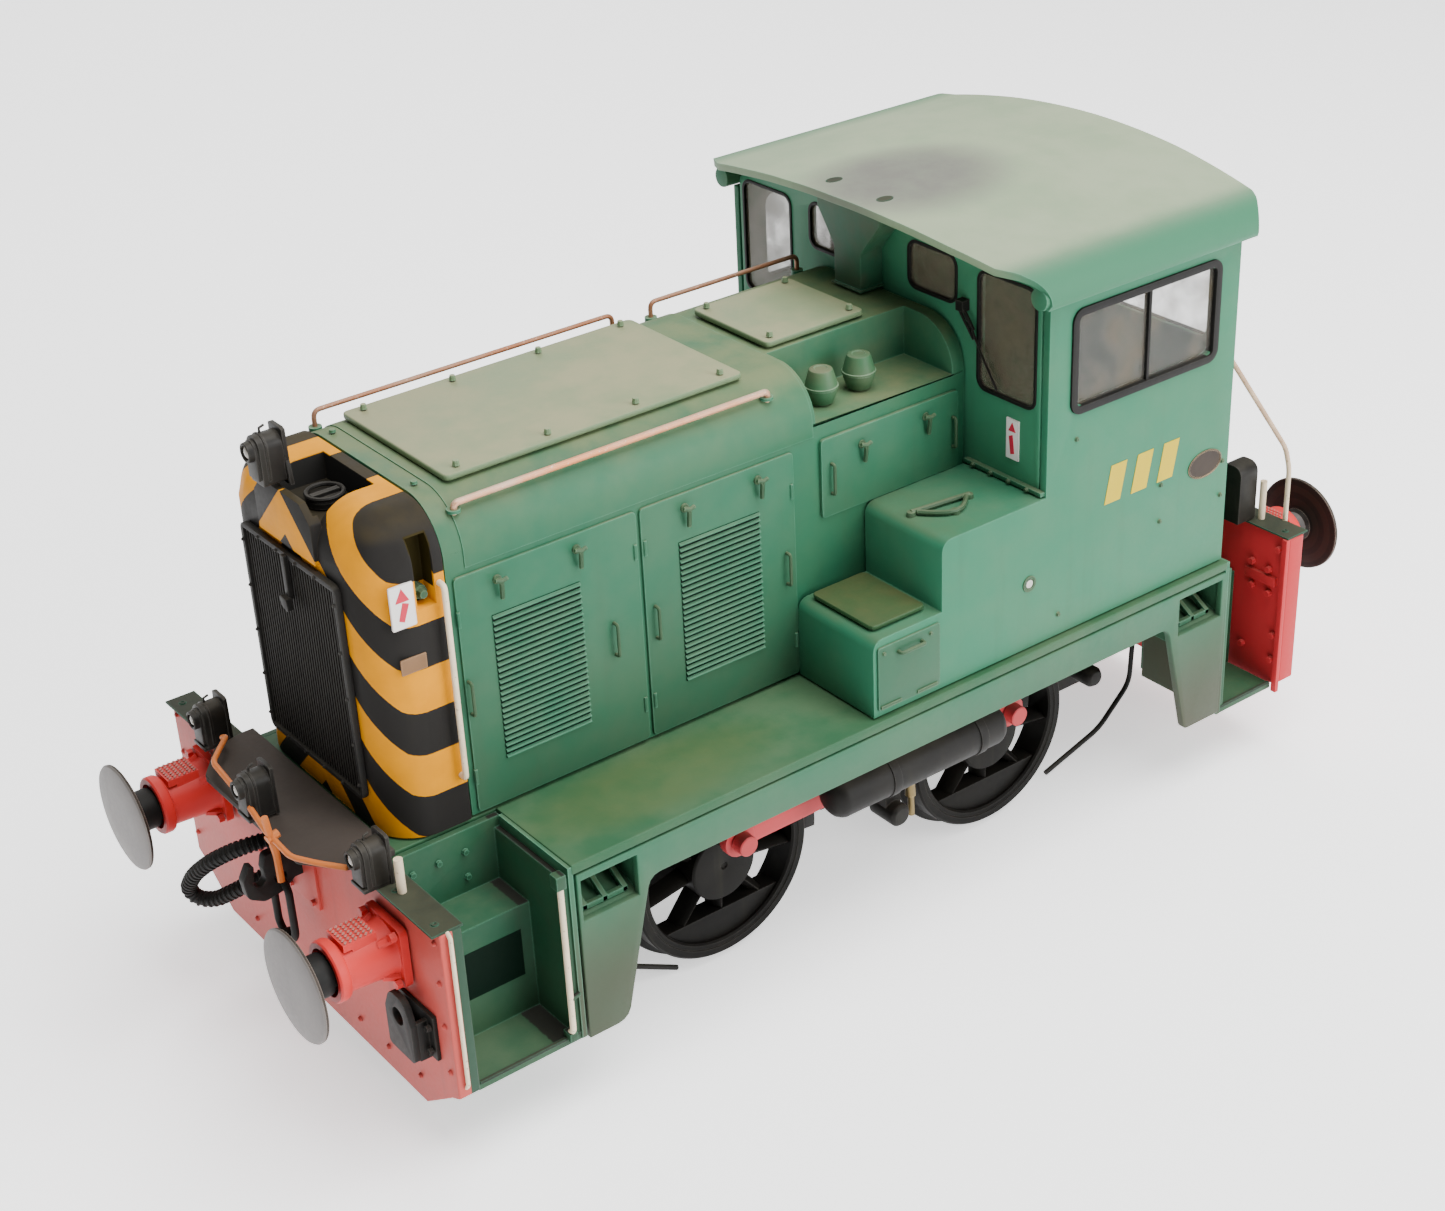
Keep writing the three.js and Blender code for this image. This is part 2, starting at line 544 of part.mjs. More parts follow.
// Vacuum pipe: a stiff moulded pipe from the beam, round in a loop to its dummy plug.
function brakePipe() {
  const route = [
    [-64.7, 2.6, 26.6], [-66.5, 2.9, 26.6], [-69.5, 4.3, 26.0], [-72.0, 6.4, 24.4], [-73.4, 9.2, 21.6],
    [-73.6, 11.2, 18.8], [-72.8, 10.9, 17.1], [-71.4, 9.2, 17.2], [-69.9, 7.4, 18.6], [-68.2, 5.9, 19.9],
    [-66.4, 5.2, 20.5], [-64.7, 5.0, 20.6],
  ].map(([x, y, z]) => new THREE.Vector3(x, y, z));
  const curve = new THREE.CatmullRomCurve3(route, false, 'centripetal');
  const section = new THREE.Shape();
  section.absarc(0, 0, 0.75, 0, 2 * Math.PI);
  const geometry = new THREE.ExtrudeGeometry(section, {
    steps: 26, extrudePath: curve, curveSegments: 4, bevelEnabled: false,
  });
  return solid(geometry);
}
place('brake_pipe', brakePipe(), black);

// ---- mechanism ----------------------------------------------------------
// Chassis frame: two side plates and three cross spacers, with holes for the axles.
function chassisFrame() {
  const plates = [-1, 1].map((side) => {
    const a = side * frame.half;
    const b = side * (frame.half - frame.plate);
    return box(frame.front, frame.rear, Math.min(a, b), Math.max(a, b), frame.bottom, frame.top);
  });
  const spacers = [frame.front, -3, frame.rear - 6].map((x) => box(
    x, x + 6, -frame.half + 0.5, frame.half - 0.5, x === -3 ? 9.6 : 20, x === -3 ? 12.0 : frame.top));
  const holes = [-wheel.x, wheel.x].map((x) => turnedY([
    [-20, 0], [-20, axleRadius + gap], [20, axleRadius + gap], [20, 0]], x, wheel.z, 20));
  return cut(joined(...plates, ...spacers), ...holes);
}
place('chassis_frame', chassisFrame(), black);

// Motor lying along the frame, with its worm over the front axle.
const shaft = { x: -13.0, z: 22.6 };
const motor = cut(
  prism(rounded(rectangle(-8.0, 8.0, shaft.z - 6.6, shaft.z + 9.4), 2.4, 3), 'x', shaft.x + 1.5, 14.0),
  turnedX([[shaft.x - 5, 0], [shaft.x - 5, 1.35], [shaft.x + 8, 1.35], [shaft.x + 8, 0]], 0, shaft.z, 16),
);
place('motor', motor, motorSteel);
const worm = joined(
  turnedX([[-26.0, 0], [-26.0, 1.0], [shaft.x + 7, 1.0], [shaft.x + 7, 0]], 0, shaft.z, 16),
  turnedX([[-24.6, 0], [-24.6, 2.3], [-17.4, 2.3], [-17.4, 0]], 0, shaft.z, 18),
);
place('worm_shaft', worm, brass);

const axle = (x, geared) => {
  const rod = turnedY([
    [-wheel.back + gap, 0], [-wheel.back + gap, axleRadius], [wheel.back - gap, axleRadius],
    [wheel.back - gap, 0]], x, wheel.z, 20);
  const gear = turnedY([[-2.6, 0], [-2.6, 6.6], [2.6, 6.6], [2.6, 0]], x, wheel.z, 28);
  return geared ? joined(rod, gear) : rod;
};
place('axle_front', axle(-wheel.x, true), steel);
place('axle_rear', axle(wheel.x, false), steel);

// Spoked wheel: flanged tyre, hub, spokes, balance weight and crank pin at its own angle.
function spokedWheel(x, crankTurn) {
  const rim = turnedY([
    [-wheel.back, 10.4], [-wheel.back, wheel.flange], [-wheel.back - 0.9, wheel.flange],
    [-wheel.back - 1.2, wheel.tread + 0.2], [-wheel.face, wheel.tread], [-wheel.face, 10.4],
    [-wheel.back, 10.4],
  ], 0, 0, 36);
  const hub = turnedY([
    [-wheel.back, 0], [-wheel.back, wheel.hub], [-wheel.face - 0.3, wheel.hub], [-wheel.face - 0.3, 0],
  ], 0, 0, 24);
  const spokes = [];
  for (let i = 0; i < wheel.spokes; i += 1) {
    const turn = crankTurn + ((i + 0.5) / wheel.spokes) * 2 * Math.PI;
    const spoke = new THREE.BoxGeometry(8.4, 1.8, 1.3);
    spoke.translate(6.9, -wheel.back - 1.6, 0);
    spoke.rotateY(-turn);
    spokes.push(solid(spoke));
  }
  const crescent = [];
  const spread = 0.95;
  for (let k = 0; k <= 10; k += 1) {
    const turn = crankTurn + Math.PI - spread + (2 * spread * k) / 10;
    crescent.push([10.8 * Math.cos(turn), 10.8 * Math.sin(turn)]);
  }
  const weight = prism(crescent, 'y', -wheel.face + 0.3, -wheel.back - 0.4);
  const pinX = crank.throw * Math.cos(crankTurn);
  const pinZ = crank.throw * Math.sin(crankTurn);
  const boss = turnedY([
    [-wheel.back - 0.6, 0], [-wheel.back - 0.6, 2.0], [-20.3, 2.0], [-20.3, 0]], pinX, pinZ, 16);
  const pin = turnedY([[-20, 0], [-20, crank.pin], [-crank.end, crank.pin], [-crank.end, 0]], pinX, pinZ, 12);
  return joined(rim, hub, ...spokes, weight, boss, pin).translate([x, 0, wheel.z]);
}
const nearTurn = Math.PI / 2;
const farTurn = Math.PI;
place('wheel_front_near', spokedWheel(-wheel.x, nearTurn), wheelBlack);
place('wheel_rear_near', spokedWheel(wheel.x, nearTurn), wheelBlack);
place('wheel_front_far', mirrored(spokedWheel(-wheel.x, farTurn)), wheelBlack);
place('wheel_rear_far', mirrored(spokedWheel(wheel.x, farTurn)), wheelBlack);

// Coupling rod: bar with an eye at each end; the rear eye has the slack of the open pivot.
function couplingRod(crankTurn) {
  const x = crank.throw * Math.cos(crankTurn);
  const z = wheel.z + crank.throw * Math.sin(crankTurn);
  const eye = (at) => turnedY([
    [-crank.rodOut, 0], [-crank.rodOut, 2.1], [-crank.rodIn, 2.1], [-crank.rodIn, 0]], at + x, z, 20);
  const hole = (at, slack) => turnedY([
    [-30, 0], [-30, crank.pin + slack], [-10, crank.pin + slack], [-10, 0]], at + x, z, 16);
  const bar = box(-wheel.x + x, wheel.x + x, -crank.rodOut + 0.15, -crank.rodIn - 0.15, z - 1.15, z + 1.15);
  return cut(joined(bar, eye(-wheel.x), eye(wheel.x)), hole(-wheel.x, gap), hole(wheel.x, gap + 0.15));
}
place('coupling_rod_near', couplingRod(nearTurn), red);
place('coupling_rod_far', mirrored(couplingRod(farTurn)), red);

place('air_tank', turnedX([
  [-6.8, 0], [-6.8, 1.6], [-5.9, 2.4], [15.4, 2.4], [16.0, 1.8], [16.0, 0],
], -25.4, 21.2, 20), black);

export default locomotive;
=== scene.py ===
import json
import math
import bmesh
import bpy
from mathutils import Matrix, Vector


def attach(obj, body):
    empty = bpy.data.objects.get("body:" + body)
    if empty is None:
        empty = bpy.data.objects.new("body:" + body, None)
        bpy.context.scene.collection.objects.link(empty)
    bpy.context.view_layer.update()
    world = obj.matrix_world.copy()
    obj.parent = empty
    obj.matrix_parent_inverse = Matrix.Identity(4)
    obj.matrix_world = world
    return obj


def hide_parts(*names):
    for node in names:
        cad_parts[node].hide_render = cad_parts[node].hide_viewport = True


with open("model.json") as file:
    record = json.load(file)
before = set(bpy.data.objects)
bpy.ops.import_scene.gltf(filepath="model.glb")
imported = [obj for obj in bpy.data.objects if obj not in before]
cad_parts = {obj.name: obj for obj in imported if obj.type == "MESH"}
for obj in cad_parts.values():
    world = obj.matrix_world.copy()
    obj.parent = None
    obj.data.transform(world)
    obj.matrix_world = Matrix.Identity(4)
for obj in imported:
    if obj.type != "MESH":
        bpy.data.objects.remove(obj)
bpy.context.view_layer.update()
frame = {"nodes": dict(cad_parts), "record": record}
mm = 0.001
record = frame["record"]
slotOf = {part["node"]: part["material_slot"] for part in record["subparts"]}
bodyOf = {node: body for body, nodes in record["behaviour"]["bodies"].items() for node in nodes}
print("frame loaded")

ends = (("front", -1), ("rear", 1))
sides = (("near", -1), ("far", 1))

# camera, floor and lights
cameraSet = {"place": (-151.7, -200.4, 172.3), "aim": (-23.1, -23.8, 50.7), "roll": -2.87, "lens": 58.75}


def makeCamera(look):
    lens = bpy.data.cameras.new("camera")
    lens.lens = look["lens"]
    lens.sensor_width = 36
    lens.clip_start = 0.01
    lens.clip_end = 20
    camera = bpy.data.objects.new("camera", lens)
    place = Vector(look["place"]) * mm
    gaze = Vector(look["aim"]) * mm - place
    turn = gaze.to_track_quat("-Z", "Y").to_matrix().to_4x4()
    roll = Matrix.Rotation(math.radians(look["roll"]), 4, "Z")
    camera.matrix_world = Matrix.Translation(place) @ turn @ roll
    bpy.context.scene.collection.objects.link(camera)
    bpy.context.scene.camera = camera


lightSet = {
    "sky": (1.0, 1.0, 1.0), "skyPower": 0.27,
    "lamps": [
        {"name": "top_light", "place": (60, -160, 620), "size": 520, "power": 8.0},
        {"name": "window_light", "place": (260, -560, 260), "size": 380, "power": 4.3},
        {"name": "back_light", "place": (160, 560, 420), "size": 420, "power": 2.2},
    ],
    "floor": (0.95, 0.95, 0.95), "floorCool": (0.95, 0.95, 0.955), "floorGlow": 0.9,
}


def makeLights(look):
    world = bpy.data.worlds.new("studio")
    world.use_nodes = True
    sky = world.node_tree.nodes["Background"]
    sky.inputs["Color"].default_value = (*look["sky"], 1)
    sky.inputs["Strength"].default_value = look["skyPower"]
    bpy.context.scene.world = world
    for spec in look["lamps"]:
        light = bpy.data.lights.new(spec["name"], "AREA")
        light.size = spec["size"] * mm
        light.energy = spec["power"]
        lamp = bpy.data.objects.new(spec["name"], light)
        place = Vector(spec["place"]) * mm
        aim = (Vector((0, 0, 30 * mm)) - place).to_track_quat("-Z", "Y").to_matrix().to_4x4()
        lamp.matrix_world = Matrix.Translation(place) @ aim
        bpy.context.scene.collection.objects.link(lamp)


makeCamera(cameraSet)
makeLights(lightSet)
print("camera and lights set")


# shader maths: a node output that takes part in sums, and the material it belongs to
class Value:
    def __init__(self, shader, socket):
        self.shader = shader
        self.socket = socket

    def math(self, operation, first, second=None, third=None):
        values = {0: first}
        if second is not None:
            values[1] = second
        if third is not None:
            values[2] = third
        return self.shader.node("ShaderNodeMath", {"operation": operation}, values)

    def __add__(self, other):
        return self.math("ADD", self, other)

    __radd__ = __add__

    def __sub__(self, other):
        return self.math("SUBTRACT", self, other)

    def __rsub__(self, other):
        return self.math("SUBTRACT", other, self)

    def __mul__(self, other):
        return self.math("MULTIPLY", self, other)

    __rmul__ = __mul__

    def __truediv__(self, other):
        return self.math("DIVIDE", self, other)

    def atMost(self, other):
        return self.math("MINIMUM", self, other)

    def atLeast(self, other):
        return self.math("MAXIMUM", self, other)

    def size(self):
        return self.math("ABSOLUTE", self)

    def part(self):
        return self.math("FRACT", self)

    def above(self, other):
        return self.math("GREATER_THAN", self, other)

    def power(self, other):
        return self.math("POWER", self, other)

    def ramp(self, low, high):
        settings = {"clamp": True, "interpolation_type": "SMOOTHSTEP"}
        return self.shader.node("ShaderNodeMapRange", settings, {0: self, 1: low, 2: high, 3: 0.0, 4: 1.0})


class Shader:
    def __init__(self, name):
        self.material = bpy.data.materials.new(name)
        self.material.use_nodes = True
        self.tree = self.material.node_tree
        self.finish = self.tree.nodes["Principled BSDF"]

    def node(self, kind, settings=None, values=None, out=None):
        made = self.tree.nodes.new(kind)
        for key, setting in (settings or {}).items():
            setattr(made, key, setting)
        for key, value in (values or {}).items():
            socket = made.inputs[key]
            if isinstance(value, Value):
                self.tree.links.new(value.socket, socket)
            elif socket.type == "RGBA" and len(value) == 3:
                socket.default_value = (*value, 1)
            else:
                socket.default_value = value
        sockets = [s for s in made.outputs if s.enabled]
        return Value(self, made.outputs[out] if out is not None else sockets[0])

    def mix(self, amount, first, second, way="MIX"):
        settings = {"data_type": "RGBA", "blend_type": way, "clamp_factor": True}
        return self.node("ShaderNodeMix", settings, {0: amount, 6: first, 7: second}, out=2)

    def place(self):
        point = self.node("ShaderNodeTexCoord", out="Object")
        scaled = self.node("ShaderNodeVectorMath", {"operation": "SCALE"}, {0: point, "Scale": 1 / mm})
        parts = self.tree.nodes.new("ShaderNodeSeparateXYZ")
        self.tree.links.new(scaled.socket, parts.inputs[0])
        return scaled, [Value(self, parts.outputs[i]) for i in range(3)]

    def facing(self):
        normal = self.node("ShaderNodeTexCoord", out="Normal")
        parts = self.tree.nodes.new("ShaderNodeSeparateXYZ")
        self.tree.links.new(normal.socket, parts.inputs[0])
        return [Value(self, parts.outputs[i]) for i in range(3)]

    def noise(self, point, scale, detail=3.0, stretch=None, seed=0.0, rough=0.55):
        if stretch or seed:
            point = self.node("ShaderNodeMapping", {}, {
                "Vector": point, "Scale": stretch or (1, 1, 1), "Location": (seed, seed * 0.7, -seed)})
        values = {"Vector": point, "Scale": scale, "Detail": detail, "Roughness": rough}
        return self.node("ShaderNodeTexNoise", {}, values, out="Fac")

    def edges(self, radius):
        soft = self.node("ShaderNodeBevel", {"samples": 6}, {"Radius": radius * mm})
        hard = self.node("ShaderNodeNewGeometry", out="Normal")
        settings = {"operation": "DOT_PRODUCT"}
        return 1 - self.node("ShaderNodeVectorMath", settings, {0: soft, 1: hard}, out="Value")

    def set(self, key, value):
        socket = self.finish.inputs[key]
        if isinstance(value, Value):
            self.tree.links.new(value.socket, socket)
        elif socket.type == "RGBA":
            socket.default_value = (*value, 1)
        else:
            socket.default_value = value

    def bump(self, height, strength, distance):
        values = {"Height": height, "Strength": strength, "Distance": distance * mm}
        self.set("Normal", self.node("ShaderNodeBump", {}, values, out="Normal"))


# paint with dust where it faces up, grime and painted shade low down, streaks on its sides and rubbed edges
paintBase = {
    "colour": (0.019, 0.128, 0.067), "dust": (0.20, 0.21, 0.12), "grime": (0.045, 0.042, 0.025),
    "wear": (0.12, 0.34, 0.22), "dusty": 0.5, "patchy": 0.25, "streaks": 0.12, "low": (0, 1, 0.0),
    "edge": 0.5, "edgeSize": 0.35, "rough": 0.48, "bump": 0.10, "metal": 0.0, "haze": 0.10, "speckle": 0.0,
    "shine": 0.2,
}


def paint(name, touches=None, shadeColour=None, base=None, **changes):
    look = {**paintBase, **(base or {}), **changes}
    shader = Shader(name)
    point, (x, y, z) = shader.place()
    up = shader.facing()[2]
    broad = shader.noise(point, 0.07, 3, seed=3.1)
    middle = shader.noise(point, 0.32, 4, seed=7.7)
    fine = shader.noise(point, 1.9, 3, seed=1.3)
    colour = look["colour"]
    if shadeColour:
        colour = shadeColour(shader, (x, y, z), (broad, middle, fine))
    haze = (broad * 0.6 + middle * 0.4).ramp(0.35, 0.7) * look["haze"]
    colour = shader.mix(haze, colour, look["dust"])
    streak = shader.noise(point, 0.55, 4, stretch=(1.0, 1.0, 0.06), seed=11.0).ramp(0.52, 0.78)
    colour = shader.mix(streak * (1 - up.size()) * look["streaks"], colour, look["grime"])
    settled = up.ramp(0.45, 0.95) * ((broad * 0.65 + middle * 0.35).ramp(0.34, 0.62) * (1 - look["patchy"])
                                    + look["patchy"])
    colour = shader.mix(settled * look["dusty"], colour, look["dust"])
    low, high, amount = look["low"]
    if amount:
        # darker towards the bottom: grime on the beams, painted shade on the body green
        lowGrimeAndShade = (1 - z.ramp(low, high)) * (middle * 0.5 + 0.62).atMost(1.0)
        colour = shader.mix(lowGrimeAndShade * amount, colour, look["grime"])
    if look["speckle"]:
        chips = shader.noise(point, 2.6, 2, seed=21.0).ramp(0.64, 0.70)
        colour = shader.mix(chips * look["speckle"], colour, look["wear"])
    if touches:
        colour = touches(shader, colour, (x, y, z), (broad, middle, fine))
    if look["edge"]:
        worn = shader.edges(look["edgeSize"]).ramp(0.03, 0.22) * (middle + 0.35).atMost(1.0) * look["edge"]
        colour = shader.mix(worn, colour, look["wear"])
    shader.set("Base Color", colour)
    shader.set("Roughness", (look["rough"] + (fine - 0.5) * 0.16 + settled * 0.18).atLeast(0.08).atMost(0.95))
    shader.set("Metallic", look["metal"])
    shader.set("Specular IOR Level", look["shine"])
    shader.bump(fine * 0.6 + middle * 0.4, look["bump"], 0.06)
    return shader.material


def patch(values, centre, radius, edge):
    far = sum(((value - middle) / reach).power(2.0) for value, middle, reach in zip(values, centre, radius)
              if reach)
    return 1 - far.ramp(1 - edge, 1 + edge)


# yellow and black bands, level round the sides and rising to a point on the front; the lamp notches are
# filled with dark olive as painted shade, the filler well with near-black
waspSet = {"yellow": (0.66, 0.26, 0.0), "aged": (0.46, 0.165, 0.0), "black": (0.019, 0.0178, 0.0168),
           "pitch": 10.1, "start": 33.0, "front": -60.2,
           # notch: dark olive painted shade on the lamp notch walls; well: near-black in the filler well
           "notch": {"colour": (0.022, 0.017, 0.004), "x": (-54.75, -52.3), "half": 14.9, "z": (60.2, 66.1),
                     "soft": 0.2},
           "well": {"colour": (0.016, 0.0155, 0.0145), "x": (-59.85, -52.5), "half": 5.35, "z": (64.5, 68.02),
                    "soft": 0.1}}


def recess(axes, look):
    x, y, z = axes
    (x0, x1), half, (z0, z1), soft = (look[key] for key in ("x", "half", "z", "soft"))
    return (x.above(x0) * x.ramp(x1 + 0.1, x1) * y.size().ramp(half + soft, half)
            * z.above(z0) * z.ramp(z1 + soft, z1))


def waspColour(shader, axes, noises):
    x, y, z = axes
    reach = y.size() + ((x - waspSet["front"]) * 0.5).atLeast(0.0).atMost(1.4)
    step = ((z + reach - waspSet["start"]) / waspSet["pitch"] + noises[2] * 0.008).part()
    band = step.ramp(0.494, 0.506)
    yellow = shader.mix(noises[1].ramp(0.3, 0.75) * 0.35, waspSet["yellow"], waspSet["aged"])
    colour = shader.mix(band, yellow, waspSet["black"])
    # the lamp notches darkened as painted shade, the filler well made near-black
    for name in ("notch", "well"):
        colour = shader.mix(recess(axes, waspSet[name]), colour, waspSet[name]["colour"])
    return colour


# where dust, soot, shade and bare metal gather: colour, strength and place
ageSet = {
    "eave": {"colour": (0.14, 0.18, 0.09), "amount": 0.22, "z": (58.5, 66.5)},
    "ledge": {"colour": (0.13, 0.12, 0.055), "amount": 0.22, "centre": (7.5, -9.0), "reach": (9.0, 5.0),
              "z": (64, 66)},
    "soot": {"colour": (0.11, 0.095, 0.10), "amount": 0.78, "centre": (23.0, -1.0), "reach": (12.0, 9.5)},
    "roofSide": {"colour": (0.017, 0.134, 0.070), "amount": 0.9, "y": (23.5, 29.0)},
    "board": {"colour": (0.062, 0.084, 0.020), "amount": 0.6, "near": (-32.0, -21.5), "far": (-33.0, 21.0),
              "reach": (15.0, 5.5)},
    "skirt": {"colour": (0.046, 0.043, 0.025), "amount": 0.92, "z": (12.0, 31.0)},
    "lockers": {"colour": (0.055, 0.070, 0.024), "amount": 0.5, "z": (50.7, 52.0), "x": (16.0, 4.0)},
    "riser": {"colour": (0.045, 0.06, 0.03), "amount": 0.25, "z": (9.5, 22.0)},
    "corner": {"colour": (0.012, 0.020, 0.011), "amount": 0.4, "x": 49.3, "reach": (1.0, 3.6)},
    "bare": {"colour": (0.011, 0.009, 0.007), "amount": 0.93, "x": (52.75, 52.5), "slope": 0.09},
    # painted shade: the riser turns almost black where the toe holes open
    "toeHoleShade": {"colour": (0.004, 0.0045, 0.004), "y": (21.4, 21.1), "z": (14.4, 20.3)},
    "disc": {"dark": (0.018, 0.015, 0.013), "light": (0.035, 0.024, 0.018), "y": 20.0, "z": 24.8,
             "rings": 0.55},
    # painted shade: the skirts' inner faces under the running board go almost black
    "inside": {"colour": (0.006, 0.007, 0.006), "amount": 0.92, "x": (39.2, 38.6), "y": (28.6, 28.2),
               "z": (29.9, 29.5)},
    "beamEdge": {"colour": (0.013, 0.045, 0.024), "x": (62.95, 62.85)},
    "rail": {"colour": (0.30, 0.15, 0.075), "amount": 0.75, "x": (45.0, 50.0), "z": (32.0, 46.0)},
}


def bonnetDust(shader, colour, axes, noises):
    x, y, z = axes
    eave, ledge = ageSet["eave"], ageSet["ledge"]
    high = z.ramp(*eave["z"]) * (noises[0] * 0.7 + noises[1] * 0.5).ramp(0.25, 0.75)
    colour = shader.mix(high * eave["amount"], colour, eave["colour"])
    low = patch((x, y), ledge["centre"], ledge["reach"], 0.5) * (1 - z.ramp(*ledge["z"]))
    return shader.mix(low * ledge["amount"], colour, ledge["colour"])


def roofSoot(shader, colour, axes, noises):
    soot, edge = ageSet["soot"], ageSet["roofSide"]
    dark = patch(axes[:2], soot["centre"], soot["reach"], 0.85) * (noises[1] * 0.6 + 0.62).atMost(1.0)
    colour = shader.mix(dark * soot["amount"], colour, soot["colour"])
    return shader.mix(axes[1].size().ramp(*edge["y"]) * edge["amount"], colour, edge["colour"])


def boardPatches(shader, colour, axes, noises):
    look = ageSet["board"]
    near, far = (patch(axes[:2], look[side], look["reach"], 0.8) for side in ("near", "far"))
    stain = (near + far) * (noises[1] * 0.7 + 0.35).atMost(1.0)
    return shader.mix(stain * look["amount"], colour, look["colour"])


def skirtFade(shader, colour, axes, noises):
    look = ageSet["skirt"]
    fade = (1 - axes[2].ramp(*look["z"])) * (noises[0] * 0.5 + 0.72).atMost(1.0)
    return shader.mix(fade * look["amount"], colour, look["colour"])


def lockerDust(shader, colour, axes, noises):
    look = ageSet["lockers"]
    tops = (1 - axes[2].ramp(*look["z"])) * shader.facing()[2].ramp(0.4, 0.9)
    stain = tops * (noises[1] + 0.15).atMost(1.0) * axes[0].ramp(*look["x"])
    return shader.mix(stain * look["amount"], colour, look["colour"])


# step wells: darker low on the risers, dark patches by the legs, bare tread edges, and painted shade inside
# the toe holes
def wellGrimeAndShade(shader, colour, axes, noises):
    x, y, z = axes
    riser, corner, bare, hole = (ageSet[key] for key in ("riser", "corner", "bare", "toeHoleShade"))
    colour = shader.mix((1 - z.ramp(*riser["z"])) * riser["amount"], colour, riser["colour"])
    near = 1 - (x.size() - corner["x"]).size().ramp(*corner["reach"])
    soot = near * (noises[1] * 1.2 + 0.2).atMost(1.0)
    colour = shader.mix(soot * corner["amount"], colour, corner["colour"])
    edge = (x.size() + z * bare["slope"] + noises[2] * 0.4).ramp(*bare["x"])
    flat = shader.facing()[2].ramp(0.6, 0.8)
    colour = shader.mix(edge * flat * bare["amount"], colour, bare["colour"])
    # painted shade inside the toe holes: the riser goes almost black there
    low, high = hole["z"]
    dark = y.size().ramp(*hole["y"]) * z.above(low) * z.ramp(high + 0.2, high)
    return shader.mix(dark, colour, hole["colour"])


def discBack(shader, colour, axes, noises):
    look = ageSet["disc"]
    back = (shader.facing()[0] * axes[0]).ramp(-1.0, -8.0)
    far = (axes[1].size() - look["y"]).power(2.0) + (axes[2] - look["z"]).power(2.0)
    rings = (far.power(0.5) * look["rings"]).part().ramp(0.42, 0.5)
    return shader.mix(back, colour, shader.mix(rings * 0.5, look["dark"], look["light"]))


# skirts darker towards the bottom, and their inner faces under the running board darkened almost to black as
# painted shade
def skirtFadeInnerShade(shader, colour, axes, noises):
    look = ageSet["inside"]
    x, y, z = axes
    colour = skirtFade(shader, colour, axes, noises)
    inside = y.size().ramp(*look["y"]) * z.ramp(*look["z"]) * x.size().ramp(*look["x"])
    return shader.mix(inside * look["amount"], colour, look["colour"])


def beamEdge(shader, colour, axes, noises):
    look = ageSet["beamEdge"]
    return shader.mix(axes[0].size().ramp(*look["x"]), colour, look["colour"])


def railAge(shader, colour, axes, noises):
    look = ageSet["rail"]
    aged = axes[0].ramp(*look["x"]) * axes[2].ramp(*look["z"]) * (noises[1] + 0.4).atMost(1.0)
    return shader.mix(aged * look["amount"], colour, look["colour"])


